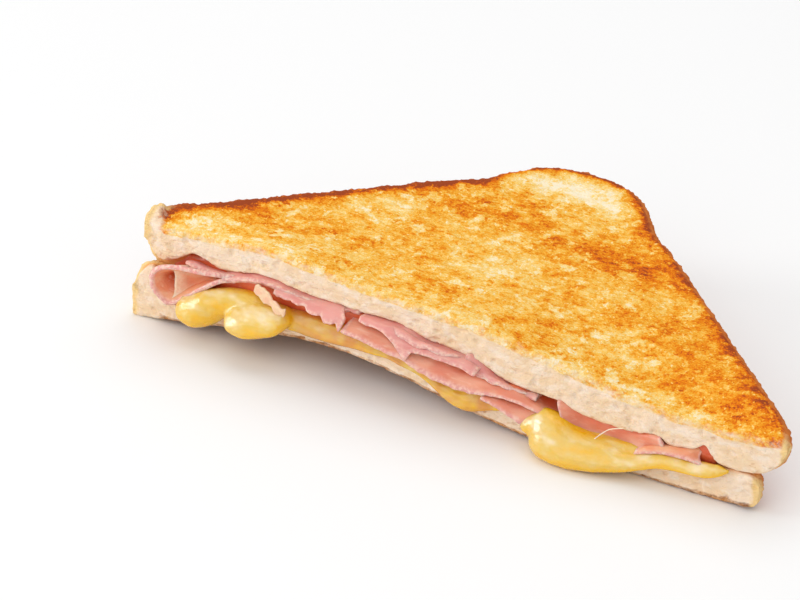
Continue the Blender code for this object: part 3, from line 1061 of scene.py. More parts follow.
@dataclass(frozen=True)
class HamFinish:
    """Cooked ham: speckled pale cut edges, moist faces, and a painted shade of deeper red further in from the
    cut edge, inside the sandwich.
    """

    meat: Meat
    face: Colour = screen(236, 166, 136)
    cloud: Colour = screen(226, 136, 106)
    # painted shade: the deeper red given further in from the cut edge
    inside: Colour = screen(226, 106, 62)
    edge: Colour = screen(242, 202, 186)
    edge_mauve: Colour = screen(226, 160, 152)
    fibre: Colour = screen(250, 218, 192)
    recess_shade_start: float = 2.0
    recess_shade_end: float = 6.0
    edge_start: float = 0.2
    edge_width: float = 1.3
    clouds: Grain = Grain((9, 5, 3), 3.0, 3.0, low=0.38, high=0.64)
    fibres: Grain = Grain((4.0, 0.9, 0.9), 3.0, 9.0, 0.35, low=0.56, high=0.74)
    speckle: Grain = Grain((0.7, 0.7, 0.7), 2.0, 19.0, low=0.35, high=0.65)
    relief: Grain = Grain((2.2, 0.6, 0.6), 3.0, 29.0)
    relief_depth: float = 0.14
    glow: float = 0.5
    glow_reach: Point = (1.1, 0.5, 0.35)

    def recipe(self) -> Recipe:
        """Puts the finish together.

        Returns:
            The nodes of the finish.
        """
        recipe = Recipe(self.meat.value)
        colour = recipe.blend(recipe.patches(self.clouds), self.face, self.cloud)
        # painted shade: deeper red further from the cut edge, where the slice lies in recesses
        inward = recipe.ramp(recipe.mark("edge"), self.recess_shade_start, self.recess_shade_end)
        colour = recipe.blend(inward, colour, self.inside)
        colour = recipe.blend(recipe.patches(self.fibres), colour, self.fibre)
        rim = recipe.blend(recipe.patches(self.speckle), self.edge, self.edge_mauve)
        from_edge = recipe.ramp(recipe.mark("edge"), self.edge_start, self.edge_width)
        recipe.set(Base_Color=recipe.blend(from_edge, rim, colour), Roughness=0.34, Specular_IOR_Level=0.5)
        recipe.bump(recipe.noise(self.relief), self.relief_depth)
        recipe.flesh(self.glow, self.glow_reach)
        return recipe


@dataclass(frozen=True)
class FatFinish:
    """The pale fat of a slice of ham."""

    meat: Meat = Meat.FAT
    fat: Colour = screen(242, 202, 164)
    tint: Colour = screen(238, 184, 152)
    clouds: Grain = Grain((2.4, 1.6, 1.2), 4.0, 0.0, low=0.38, high=0.62)
    relief: Grain = Grain((0.8, 0.8, 0.8), 2.0, 5.0)
    relief_depth: float = 0.2
    glow: float = 0.4
    glow_reach: Point = (2.0, 1.4, 0.9)

    def recipe(self) -> Recipe:
        """Puts the finish together.

        Returns:
            The nodes of the finish.
        """
        recipe = Recipe(self.meat.value)
        recipe.set(Base_Color=recipe.blend(recipe.patches(self.clouds), self.fat, self.tint), Roughness=0.25)
        recipe.bump(recipe.noise(self.relief), self.relief_depth)
        recipe.flesh(self.glow, self.glow_reach)
        return recipe


@dataclass(frozen=True)
class CheeseFinish:
    """Melted cheese: glossy warm yellow, with painted light and shade: paler where it swells towards the
    light, a richer yellow where it turns away.
    """

    name: str = "melted_cheese"
    # painted light and shade: rich where the cheese faces away from the light, body between, pale where it
    # faces the light
    rich: Colour = screen(244, 188, 0)
    body: Colour = screen(234, 197, 96)
    pale: Colour = screen(250, 230, 190)
    amber: Colour = screen(222, 148, 58)
    clouds: Grain = Grain((5.5, 3.6, 2.8), 2.0, 2.0, 1.3)
    body_light: Pair = (0.30, 0.95)
    painted_highlight_range: Pair = (0.78, 1.2)
    painted_highlight_share: float = 0.78
    relief: Grain = Grain((1.8, 1.4, 1.1), 2.0, 13.0)
    relief_depth: float = 0.3
    glow: float = 0.3
    glow_reach: Point = (2.0, 1.2, 0.35)

    def recipe(self) -> Recipe:
        """Puts the finish together.

        Returns:
            The nodes of the finish.
        """
        recipe = Recipe(self.name)
        # painted light and shade, from the lit mark: how far each place faces the light
        lit = recipe.calc("ADD", recipe.mark("lit"), recipe.centred(self.clouds))
        colour = recipe.blend(recipe.ramp(lit, *self.body_light), self.rich, self.body)
        paler = recipe.calc("MULTIPLY", recipe.ramp(lit, *self.painted_highlight_range), self.painted_highlight_share)
        colour = recipe.blend(paler, colour, self.pale)
        colour = recipe.blend(recipe.mark("thin"), colour, self.amber)
        recipe.set(Base_Color=colour, Roughness=0.2)
        recipe.set(Specular_IOR_Level=0.6, Coat_Weight=0.5, Coat_Roughness=0.05)
        recipe.bump(recipe.noise(self.relief), self.relief_depth)
        recipe.flesh(self.glow, self.glow_reach)
        return recipe


CREAM = screen(252, 236, 206)
CHEESE_THREAD = CheeseFinish("cheese_thread", rich=CREAM, body=CREAM, pale=CREAM, amber=CREAM)


@dataclass(frozen=True)
class Scorch:
    """A patch of the toasted face that is browner than the rest, or paler where its strength is below 0."""

    x: float
    y: float
    length: float
    depth: float
    strength: float

    def at(self, points: np.ndarray) -> np.ndarray:
        """How much the patch browns each place.

        Args:
            points: Places on the slice.

        Returns:
            The browning of each.
        """
        across, back = (points[:, 0] - self.x) / self.length, (points[:, 1] - self.y) / self.depth
        return self.strength * np.exp(-(across**2) - back**2)


@dataclass(frozen=True)
class Band:
    """A band of the toasted face along the crust that is browner than the rest."""

    strength: float
    fade: Fade

    def at(self, distance: np.ndarray) -> np.ndarray:
        """How much the band browns a place, from its distance to the crust."""
        return self.strength * self.fade.gone(distance)


@dataclass
class BreadSlice:
    """One slice of bread, made as a flat slab and then carried to its own faces."""

    name: str
    layers: Layers
    shop: Workshop
    finish: BreadFinish
    slide: float = 0.0
    scale: float = 1.0
    voxel: float = 0.6
    slab_thickness: float = 8.0
    toast_start: float = 0.86
    toast_sharpness: float = 26.0
    toast_setback: float = 0.5
    crust_width: float = 9.0
    crust_lead: float = 1.25
    rim_start: float = 3.0
    rim_delay: float = 0.3
    crust_rounding: float = 3.2
    ear_rounding: float = 0.9
    cut_rounding: float = 1.2
    inner_rounding: float = 0.4
    fine_at_cut: float = 0.9
    fine_at_crust: float = 1.8
    scorches: tuple[Scorch, ...] = ()
    ear_limit: float = -74.8
    ear_lean: float = 0.5
    ear_depth: float = 8.0
    ear_fade: float = 4.0
    no_ear: float = 9.0
    toast_relief: Relief = Relief((4.4, 2.6, 2.6), 0.22, 3.1)
    crumb_relief: Relief = Relief((4.0, 4.0, 2.4), 0.34, 5.9, 4)
    crust_relief: Relief = Relief((1.1, 1.1, 1.1), 0.42, 8.3, 2)
    pore_size: Point = (2.0, 2.0, 1.4)
    pore_seed: float = 9.7
    pore_depth: float = 0.45
    pore_edge: Fade = Fade(0.25, 0.3)
    # painted shade: how much the toast's colour follows its relief, darker where it rises
    relief_painted_shade: float = 0.07
    near_toast: Fade = Fade(0.8, 0.15)
    toast_from_cut: Fade = Fade(0.0, 3.0)
    crumb_at_cut: Fade = Fade(0.0, 0.8)
    crust_skin: Fade = Fade(1.2, 1.4)
    crust_from_cut: Fade = Fade(0.0, 2.0)
    # where the painted warm shade lies: on the face towards the filling, away from the cut
    painted_warm_shade_face: Fade = Fade(0.25, -0.2)
    painted_warm_shade_from_cut: Fade = Fade(0.0, 1.5)
    baked_side: Fade = Fade(-12.5, -16.0)
    baked_strength: float = 0.26
    left_side: Fade = Fade(-16.5, -8.0)
    left_bands: tuple[Band, ...] = (Band(0.38, Fade(3.0, 2.2)), Band(0.20, Fade(4.2, 3.5)))
    right_bands: tuple[Band, ...] = (Band(0.24, Fade(1.0, 2.0)), Band(0.22, Fade(1.8, 5.5)))
    corner_band: Band = Band(0.42, Fade(2.0, 2.2))
    corner_width: float = 20.0
    cut_pallor: float = 0.10
    pallor_depth: float = 3.0

    def heights(self, x: np.ndarray, y: np.ndarray, rim: np.ndarray) -> tuple[np.ndarray, np.ndarray]:
        """The lower and upper faces of the slice."""
        raise NotImplementedError

    def toasted_share(self, share: np.ndarray) -> np.ndarray:
        """How near each place is to the toasted face, from its share of the thickness."""
        raise NotImplementedError

    def rounding(self, distance: np.ndarray, radius: Number) -> np.ndarray:
        """How far a rounded edge has dropped, at a distance in from the side."""
        rest = np.clip(radius - distance, 0, radius)
        return radius - np.sqrt(radius**2 - rest**2)

    def rim_share(self, distance: np.ndarray, y: np.ndarray) -> np.ndarray:
        """How much of the crust's thickness a place has."""
        beside_crust = smooth_step(self.crust_lead - distance / self.crust_width)
        return beside_crust * smooth_step(y / self.rim_start - self.rim_delay)

    def edge_drop(self, x: np.ndarray, y: np.ndarray, distance: np.ndarray, face: np.ndarray) -> np.ndarray:
        """How far the faces have dropped at the rounded edges.

        Args:
            x: Places along the cut.
            y: Places behind the cut.
            distance: How far in each place is from the crusted sides.
            face: How near each place is to the toasted face.

        Returns:
            The drop at each place.
        """
        outer, inner = self.rounding(y, self.cut_rounding), self.rounding(y, self.inner_rounding)
        at_cut = np.where(face > 0.5, outer, inner)
        past_ear = smooth_step((x - self.ear_limit) / self.ear_fade)
        crust_rounding = mix(self.ear_rounding, self.crust_rounding, past_ear)
        return np.maximum(self.rounding(distance, crust_rounding), at_cut)

    def turned(self, points: np.ndarray) -> np.ndarray:
        """Turns points about Z so that X runs with the streaks.

        Args:
            points: Places on the slice.

        Returns:
            The same places, turned.
        """
        turn = math.radians(self.finish.streak_turn)
        x = points[:, 0] * math.cos(turn) + points[:, 1] * math.sin(turn)
        y = points[:, 1] * math.cos(turn) - points[:, 0] * math.sin(turn)
        return np.column_stack((x, y, points[:, 2]))

    def build(self) -> Piece:
        """Makes the slice.

        Returns:
            The finished piece.
        """
        plan = self.layers.plan
        outline = [(x * self.scale, y * self.scale) for x, y in plan.outline()]
        slab = self.shop.flat_slab(self.name + "_loaf", outline, self.slab_thickness)
        self.shop.remeshed(slab, self.voxel)

        def fine(middles: np.ndarray) -> np.ndarray:
            """The faces near the cut and near the crust."""
            from_crust = plan.crust_distance(middles[:, 0], middles[:, 1], outline)
            return (middles[:, 1] < self.fine_at_cut) | (from_crust < self.fine_at_crust)

        self.shop.refined(slab, fine)
        points = self.shop.points_of(slab)
        x, y = points[:, 0] + self.slide, np.clip(points[:, 1], 0, None)
        share = np.clip(points[:, 2] / self.slab_thickness + 0.5, 0, 1)
        distance = plan.crust_distance(points[:, 0], y, outline)
        low, high = self.heights(x, y, self.rim_share(distance, y))
        face = self.toasted_share(share)
        edge = self.edge_drop(x, y, distance, face)
        low = np.maximum(low + edge, 0.0)
        points = np.column_stack((x, points[:, 1], mix(low, high - edge, share)))
        self.shop.put_points(slab, points)
        relief = self.toast_relief.form(self.turned(points))
        self.roughen(slab, points, distance, y, face, relief)
        marks = {
            "rim": distance,
            "cut": y,
            # inner: where the crumb gets its painted warm shade, on the face towards the filling
            "inner": self.painted_warm_shade_face.at(face) * self.painted_warm_shade_from_cut.at(y),
            # relief: painted shade that follows the toast's relief
            "relief": self.relief_painted_shade * relief,
            "baked": self.baked_strength * self.baked_side.at(points[:, 0]),
            "toasted": self.toasted_depth(points, y, face),
            "browning": self.browning(points, distance),
        }
        for mark, values in marks.items():
            self.shop.mark(slab, mark, values)
        self.shop.carried(slab)
        self.finish.recipe().apply(slab)
        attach(slab, BODY)
        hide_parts(self.name)
        return slab

    def toasted_depth(self, points: np.ndarray, y: np.ndarray, face: np.ndarray) -> np.ndarray:
        """How far inside the toasted part of the skin each place is, in millimetres.

        Args:
            points: Places on the slice.
            y: How far each is behind the cut.
            face: How near each is to the toasted face.

        Returns:
            The distance of each, below 0 outside it.
        """
        at_ear = np.where(y < self.ear_depth, points[:, 0] + self.ear_lean * y - self.ear_limit, self.no_ear)
        at_face = (face - self.toast_start) * self.toast_sharpness
        return np.minimum(np.minimum(at_face, self.toast_setback + y), at_ear)

    def browning(self, points: np.ndarray, distance: np.ndarray) -> np.ndarray:
        """How much darker or paler than usual the toast is.

        Args:
            points: Places on the slice.
            distance: How far in each is from the crusted sides.

        Returns:
            The browning of each.
        """
        left = sum(band.at(distance) for band in self.left_bands)
        right = sum(band.at(distance) for band in self.right_bands)
        at_corner = bell(points[:, 0], self.layers.plan.back[0], self.corner_width)
        corner = at_corner * self.corner_band.at(distance)
        total = mix(right, left, self.left_side.at(points[:, 0])) + corner
        total -= self.cut_pallor * bell(points[:, 1], 0.0, self.pallor_depth)
        return total + sum(spot.at(points) for spot in self.scorches)

    def roughen(
        self,
        slab: Piece,
        points: np.ndarray,
        distance: np.ndarray,
        y: np.ndarray,
        face: np.ndarray,
        relief: np.ndarray,
    ) -> None:
        """Raises the relief of the toast, crumb and crust.

        Args:
            slab: The slice.
            points: Its places.
            distance: How far in each place is from the crusted sides.
            y: How far each place is behind the cut.
            face: How near each place is to the toasted face.
            relief: The unevenness of the toasted face.
        """
        toast = self.near_toast.at(face) * self.toast_from_cut.at(y)
        height = toast * self.toast_relief.depth * relief
        pores = self.pore_edge.at(noise_at(points, self.pore_size, self.pore_seed))
        height += self.crumb_at_cut.gone(y) * (self.crumb_relief.rise(points) - self.pore_depth * pores)
        height += self.crust_skin.gone(distance) * self.crust_from_cut.at(y) * self.crust_relief.rise(points)
        points = points + self.shop.normals_of(slab) * height[:, None]
        points[:, 2] = np.maximum(points[:, 2], 0.0)
        self.shop.put_points(slab, points)


@dataclass
class UpperSlice(BreadSlice):
    """The slice whose toasted face shows."""

    scorches: tuple[Scorch, ...] = (
        Scorch(-57, 15, 12, 5, 0.10), Scorch(-28, 43, 14, 5, 0.14), Scorch(-10, 47, 12, 5, 0.16),
        Scorch(14, 44, 12, 6, 0.22), Scorch(26, 41, 9, 5, 0.16), Scorch(20, 60, 7, 9, 0.14),
        Scorch(36, 27, 8, 6, 0.14), Scorch(52, 9, 7, 4, 0.14), Scorch(48, 22, 10, 9, 0.12),
        Scorch(68, 8, 9, 9, 0.20), Scorch(-2, 67, 10, 4.5, -0.40), Scorch(-15, 64, 11, 4, -0.30),
        Scorch(7, 63, 6, 4, -0.24), Scorch(-36, 36, 9, 4, -0.14), Scorch(-5, 26, 14, 6, -0.12),
        Scorch(24, 30, 8, 4, -0.08), Scorch(-50, 8, 14, 5, -0.05), Scorch(28, 12, 12, 4, -0.08),
        Scorch(-66, 5, 9, 4, -0.15),
    )

    def heights(self, x: np.ndarray, y: np.ndarray, rim: np.ndarray) -> tuple[np.ndarray, np.ndarray]:
        """The lower and upper faces of the slice."""
        return self.layers.upper_underside(x, y, rim), self.layers.top_face(x, y, rim)

    def toasted_share(self, share: np.ndarray) -> np.ndarray:
        """The upper face is the toasted one."""
        return share


@dataclass
class LowerSlice(BreadSlice):
    """The slice that lies on the table."""

    slide: float = -4.1
    scale: float = 0.987
    toast_start: float = 0.88
    cut_rounding: float = 0.5

    def heights(self, x: np.ndarray, y: np.ndarray, rim: np.ndarray) -> tuple[np.ndarray, np.ndarray]:
        """The lower and upper faces of the slice."""
        return self.layers.lower_underside(x, y), self.layers.lower_face(x, y, rim)

    def toasted_share(self, share: np.ndarray) -> np.ndarray:
        """The lower face is the toasted one."""
        return 1 - share


@dataclass(frozen=True)
class Loft:
    """A smooth surface through rows of stations, from the edge that shows to the hidden one."""

    rows: Rows
    samples: int = 9

    def stops(self) -> np.ndarray:
        """Measures how far each row is from the first, by their mean distance apart.

        Returns:
            The distance of each row.
        """
        shares = np.linspace(0, 1, self.samples)
        lines = np.array([route_point(shares, row) for row in self.rows])
        steps = np.linalg.norm(np.diff(lines, axis=0), axis=1).mean(axis=1)
        return np.concatenate(((0.0,), np.cumsum(steps)))

    def width(self) -> float:
        """The length of the edge that shows."""
        points = np.array(self.rows[0])
        return float(np.linalg.norm(np.diff(points, axis=0), axis=1).sum())

    def length(self) -> float:
        """The distance from the first row to the last."""
        return float(self.stops()[-1])

    def place(self, u: np.ndarray, v: np.ndarray) -> Places:
        """Places points on the surface.

        Args:
            u: Shares of the way along the rows.
            v: Shares of the way from the first row to the last.

        Returns:
            The X, Y and Z of the points.
        """
        stops = self.stops()
        lines = np.array([route_point(u, row) for row in self.rows])
        slopes = np.gradient(lines, stops, axis=0)
        at = np.clip(v, 0, 1) * stops[-1]
        index = np.clip(np.searchsorted(stops, at) - 1, 0, len(stops) - 2)
        column = np.arange(len(v))
        span = (stops[index + 1] - stops[index])[:, None]
        t = (at - stops[index])[:, None] / span
        near, far = lines[index, :, column], lines[index + 1, :, column]
        leave, arrive = slopes[index, :, column], slopes[index + 1, :, column]
        return tuple(bridge(t, span, near, far, leave, arrive).T)


@dataclass
class HamSheet:
    """A slice of ham: a grid carried to its place, then given its thickness."""

    name: str
    shop: Workshop
    place: Place
    width: float
    length: float
    meat: Meat = Meat.ROSY
    thickness: float = 1.1
    pitch: float = 0.4
    shown_length: float = 9.0
    hidden_pitch: float = 2.0
    wrinkle: float = 0.2
    wrinkle_size: Point = (4.5, 3.0, 3.0)
    ragged: float = 0.25
    ragged_back: float = 0.0
    tooth_size: float = 1.9
    back_shift: float = 40.0
    seed: float = 0.0

    def lines(self) -> np.ndarray:
        """Spaces the lines of the grid, finer where the slice shows.

        Returns:
            The share of the length at which each line lies.
        """
        share = min(1.0, self.shown_length / self.length)
        shown = np.linspace(0, share, max(3, round(share * self.length / self.pitch)))
        hidden = round((1 - share) * self.length / self.hidden_pitch)
        return np.concatenate((shown, np.linspace(share, 1, hidden + 1)[1:]))

    def teeth(self, u: np.ndarray, depth: float, seed: float) -> np.ndarray:
        """How far a torn edge falls back, as a share of the length."""
        places = np.column_stack((u * self.width, 0 * u, 0 * u))
        return depth * np.clip(0.5 + rough_at(places, self.tooth_size, seed, 2), 0, None) / self.length

    def build(self) -> Piece:
        """Makes the slice.

        Returns:
            The finished piece, without its finish.
        """
        columns = max(6, round(self.width / self.pitch))
        lines = self.lines()
        mesh = bpy.data.meshes.new(self.name + "_ham")
        with editing(mesh) as grid:
            bmesh.ops.create_grid(grid, x_segments=columns, y_segments=len(lines) - 1, size=0.5)
        obj = linked(self.name + "_slice", mesh)
        flat = self.shop.points_of(obj) + 0.5
        u = flat[:, 0]
        v = np.interp(flat[:, 1], np.linspace(0, 1, len(lines)), lines)
        edge = np.minimum(np.minimum(u, 1 - u) * self.width, v * self.length)
        front = self.teeth(u, self.ragged, self.seed)
        back = self.teeth(u, self.ragged_back, self.seed + self.back_shift)
        v = v + front * np.clip(1 - 2 * v, 0, 1) - back * np.clip(2 * v - 1, 0, 1)
        points = np.column_stack(self.place(u, v))
        self.shop.put_points(obj, points)
        self.shop.mark(obj, "edge", edge)
        normals = self.shop.normals_of(obj)
        wave = self.wrinkle * rough_at(points, self.wrinkle_size, self.seed)
        self.shop.put_points(obj, points + normals * wave[:, None])
        solid = obj.modifiers.new("thickness", "SOLIDIFY")
        solid.thickness = self.thickness
        solid.offset = 0.0
        soft = obj.modifiers.new("soft_rim", "SMOOTH")
        soft.iterations = 1
        self.shop.applied(obj)
        return self.shop.carried(obj)


@dataclass
class HamFilling:
    """All the ham, as it lies between the bread and hangs out of the cut."""

    layers: Layers
    shop: Workshop
    finishes: tuple[HamFinish | FatFinish, ...] = (
        HamFinish(Meat.ROSY),
        HamFinish(
            Meat.PALE, face=screen(232, 164, 154), cloud=screen(222, 144, 136),
            recess_shade_start=3.5, recess_shade_end=8.0,
        ),
        HamFinish(
            Meat.WARM, face=screen(240, 178, 138), cloud=screen(236, 150, 108), inside=screen(226, 112, 66),
            recess_shade_start=1.8, recess_shade_end=4.4,
        ),
        # the curl's wide pale band along its edge is the pale cut edge with a painted highlight
        HamFinish(
            Meat.CURL, face=screen(236, 146, 96), cloud=screen(228, 120, 82), inside=screen(216, 96, 66),
            edge=screen(250, 216, 188), edge_mauve=screen(246, 200, 168),
            recess_shade_start=4.0, recess_shade_end=9.0, edge_width=4.2,
        ),
        # the shaded ham: face, edges and inner colour all darkened as painted shade
        HamFinish(
            Meat.SHADED, face=screen(234, 122, 76), cloud=screen(216, 98, 60), inside=screen(224, 104, 64),
            edge=screen(206, 104, 62), edge_mauve=screen(188, 86, 50), recess_shade_start=0.5, recess_shade_end=2.0,
        ),
        FatFinish(),
    )
    roll_route: Row = (
        (-55.0, -0.6, 18.2), (-58.8, -1.8, 18.2), (-62.4, -2.8, 18.2), (-66.2, -3.4, 18.3),
        (-69.6, -3.9, 18.0), (-72.8, -4.1, 17.0), (-74.7, -4.2, 14.9), (-74.9, -4.2, 12.0),
        (-73.2, -4.1, 9.2), (-70.5, -3.7, 7.9), (-66.8, -3.1, 9.8), (-63.4, -2.5, 12.9),
        (-60.2, -2.1, 15.4), (-57.4, -1.6, 17.0), (-54.6, -0.9, 17.5),
    )
    roll_middle: Pair = (-66.5, 13.6)
    roll_depth: float = 6.0
    roll_narrowing: float = 0.35
    roll_flattening: float = 0.80
    turn_rows: Rows = (
        ((-70.4, -2.1, 17.2), (-70.1, -1.5, 13.8), (-70.2, -1.7, 11.0), (-70.4, -2.6, 8.6)),
        ((-67.8, -0.4, 17.2), (-67.6, 0.7, 14.2), (-67.4, 0.3, 11.8), (-67.2, -1.8, 9.8)),
        ((-64.2, 0.8, 17.5), (-64.0, 1.8, 15.2), (-64.0, 1.0, 13.4), (-64.0, -1.4, 12.2)),
        ((-60.2, 1.6, 17.7), (-60.2, 2.0, 16.8), (-60.2, 1.2, 16.0), (-60.4, -0.8, 15.2)),
    )
    flap_rows: Rows = (
        ((-44.4, -1.6, 17.5), (-41.6, -1.9, 17.1), (-38.8, -2.2, 17.0), (-36.0, -2.5, 16.6),
         (-32.4, -3.0, 15.8), (-29.4, -3.3, 14.9), (-26.8, -3.2, 14.3)),
        ((-44.5, -1.2, 18.2), (-41.5, -1.5, 17.9), (-38.6, -1.7, 17.7), (-35.6, -1.9, 17.4),
         (-32.2, -2.3, 16.9), (-28.8, -2.6, 16.7), (-25.8, -2.4, 17.1)),
        ((-44.4, -0.2, 18.7), (-41.5, -0.3, 18.6), (-38.6, -0.4, 18.4), (-35.6, -0.5, 18.2),
         (-32.4, -0.6, 18.1), (-29.2, -0.7, 18.1), (-26.9, -0.8, 18.1)),
        ((-44.0, 5.0, 17.0), (-41.0, 5.0, 17.0), (-38.0, 5.0, 16.8), (-35.0, 5.0, 16.6), (-32.0, 5.0, 16.5),
         (-29.5, 5.0, 16.4), (-27.5, 5.0, 16.4)),
        ((-42.0, 40.0, 14.2), (-40.0, 40.0, 14.2), (-37.0, 40.0, 14.2), (-34.0, 40.0, 14.2),
         (-31.0, 40.0, 14.2), (-29.0, 40.0, 14.2), (-28.0, 40.0, 14.2)),
    )
    fold_rows: Rows = (
        ((-22.6, -1.6, 17.5), (-20.8, -1.9, 17.2), (-18.6, -2.1, 17.3), (-16.2, -2.5, 17.0),
         (-13.6, -3.0, 15.6), (-11.6, -3.3, 13.7), (-10.0, -3.5, 12.4), (-9.0, -3.3, 14.3),
         (-7.2, -3.1, 14.8), (-4.5, -3.0, 14.8), (-1.0, -2.8, 14.6), (3.0, -2.6, 14.1), (6.3, -2.4, 13.1)),
        ((-22.7, -1.2, 18.1), (-20.8, -1.5, 17.9), (-18.6, -1.7, 17.9), (-16.2, -2.0, 17.8),
         (-13.6, -2.3, 17.2), (-11.6, -2.6, 16.4), (-10.0, -2.8, 15.8), (-8.8, -2.7, 16.0),
         (-7.2, -2.6, 16.1), (-4.5, -2.4, 16.1), (-1.0, -2.2, 15.7), (3.0, -2.0, 14.9), (6.6, -1.8, 14.0)),
    )
    fold_inner: tuple[tuple[float, ...], tuple[float, ...]] = (
        (-22.6, -20.6, -18.4, -16.0, -13.6, -11.6, -10.0, -8.6, -7.0, -4.5, -1.0, 3.0, 6.8),
        (-21.0, -18.6, -16.6, -14.8, -13.0, -11.4, -9.8, -8.4, -6.8, -4.6, -2.0, 1.4, 4.6),
    )
    over_rows: Rows = (
        ((-15.6, -1.2, 18.2), (-13.4, -2.3, 17.4), (-11.4, -2.9, 16.9), (-9.4, -3.1, 16.7),
         (-7.8, -3.2, 16.2), (-6.0, -3.1, 16.5), (-4.4, -3.0, 16.5), (-2.8, -2.9, 15.9), (0.6, -2.0, 15.9),
         (4.4, 0.8, 15.2)),
        ((-15.4, -0.9, 18.4), (-13.2, -1.6, 18.2), (-11.4, -2.0, 17.9), (-9.4, -2.2, 17.6),
         (-7.8, -2.3, 17.1), (-6.0, -2.2, 17.1), (-4.4, -2.1, 17.0), (-2.8, -2.0, 16.7), (0.6, -1.2, 16.3),
         (4.4, 1.0, 15.4)),
    )
    over_inner: tuple[float, ...] = (-15.0, -13.0, -11.2, -9.4, -7.8, -6.0, -4.4, -2.8, 0.4, 3.6)
    beside_rows: Rows = (
        ((3.0, -0.2, 12.9), (6.2, -1.0, 12.4), (9.6, -1.6, 12.2), (12.2, -1.6, 12.1), (15.0, -1.4, 11.8),
         (17.6, -0.8, 11.6), (20.6, 0.8, 11.5)),
        ((3.0, 0.2, 13.8), (6.2, -0.5, 13.6), (9.6, -1.0, 13.2), (12.2, -1.1, 12.7), (15.0, -0.9, 12.2),
         (17.6, -0.4, 12.0), (20.6, 1.0, 11.8)),
    )
    beside_inner: tuple[float, ...] = (3.0, 6.2, 9.6, 12.2, 15.0, 17.6, 20.6)
    low_rows: Rows = (
        ((-26.4, -3.2, 14.2), (-22.0, -3.2, 13.7), (-17.0, -3.2, 12.7), (-12.0, -3.2, 12.2),
         (-8.0, -3.2, 10.9), (-4.0, -3.2, 9.7), (0.0, -3.1, 9.1), (4.0, -2.9, 8.8), (8.0, -2.8, 9.2),
         (12.0, -2.7, 9.9), (16.5, -2.5, 9.9), (20.5, -2.2, 9.1), (24.0, -1.7, 8.2), (27.0, -1.4, 7.3)),
        ((-26.0, -2.0, 15.2), (-22.0, -1.9, 15.0), (-17.0, -1.9, 14.3), (-12.0, -1.9, 13.6),
         (-8.0, -1.9, 12.9), (-4.0, -1.9, 12.3), (0.0, -1.9, 11.6), (4.0, -1.9, 11.2), (8.0, -1.9, 11.2),
         (12.0, -1.9, 11.1), (16.5, -1.8, 10.9), (20.5, -1.4, 9.9), (24.0, -1.1, 8.9), (27.0, -0.9, 8.1)),
        ((-25.6, 0.4, 16.0), (-22.0, 0.4, 15.9), (-17.0, 0.4, 15.6), (-12.0, 0.4, 15.0), (-8.0, 0.4, 14.5),
         (-4.0, 0.3, 14.0), (0.0, 0.1, 13.5), (4.0, 0.4, 12.6), (8.0, 0.2, 12.2), (12.0, -0.2, 11.9),
         (16.5, -0.6, 11.8), (20.5, 1.2, 9.9), (24.0, 1.6, 8.9), (27.0, 1.6, 8.3)),
        ((-25.0, 6.0, 15.4), (-22.0, 6.0, 15.2), (-17.0, 6.0, 14.9), (-12.0, 6.0, 14.4), (-8.0, 6.0, 13.8),
         (-4.0, 6.0, 13.2), (0.0, 6.0, 12.6), (4.0, 6.0, 12.0), (8.0, 6.0, 11.5), (12.0, 6.0, 11.2),
         (16.5, 6.0, 10.8), (20.5, 6.0, 10.4), (24.0, 6.0, 9.8), (27.0, 6.0, 9.6)),
        ((-24.0, 56.0, 12.6), (-21.0, 56.0, 12.6), (-17.0, 56.0, 12.6), (-12.0, 56.0, 12.6),
         (-8.0, 56.0, 12.5), (-4.0, 56.0, 12.4), (0.0, 56.0, 12.3), (4.0, 56.0, 12.2), (7.0, 54.0, 12.1),
         (10.0, 51.0, 12.0), (13.0, 48.0, 11.9), (16.0, 45.0, 11.8), (18.0, 42.0, 11.7),
         (20.0, 39.0, 11.6)),
    )
    end_rows: Rows = (
        ((27.4, -1.4, 7.2), (29.2, -1.1, 6.4), (31.6, -0.7, 5.7), (34.5, -0.4, 5.3), (37.5, -0.3, 5.2),
         (40.5, -0.3, 5.2), (44.0, -0.3, 5.6), (47.5, -0.4, 7.2), (50.9, -0.6, 8.6)),
        ((26.5, -1.0, 9.6), (28.4, -0.3, 9.2), (31.2, 0.9, 8.2), (34.5, 1.1, 7.6), (37.5, 1.1, 7.4),
         (40.5, 1.0, 7.4), (44.0, 0.8, 7.8), (47.5, 0.3, 8.8), (50.7, -0.4, 9.6)),
        ((25.4, -0.4, 11.7), (27.8, 0.0, 11.2), (31.0, 1.2, 10.1), (34.5, 1.5, 9.6), (37.5, 1.5, 9.4),
         (40.5, 1.4, 9.5), (44.0, 1.1, 9.5), (47.5, 0.4, 10.3), (49.8, -0.2, 10.8)),
        ((26.0, 6.0, 10.6), (28.4, 6.0, 10.4), (31.0, 6.0, 10.2), (34.5, 6.0, 9.9), (37.5, 6.0, 9.8),
         (40.5, 6.0, 9.8), (44.0, 6.0, 9.7), (47.5, 6.0, 9.7), (50.0, 6.0, 9.7)),
        ((24.0, 34.0, 11.3), (27.0, 31.0, 11.2), (30.0, 28.0, 11.1), (33.0, 25.0, 10.9), (36.0, 22.0, 10.8),
         (39.0, 19.0, 10.6), (42.0, 17.0, 10.5), (45.0, 14.0, 10.3), (48.0, 12.0, 10.2)),
    )
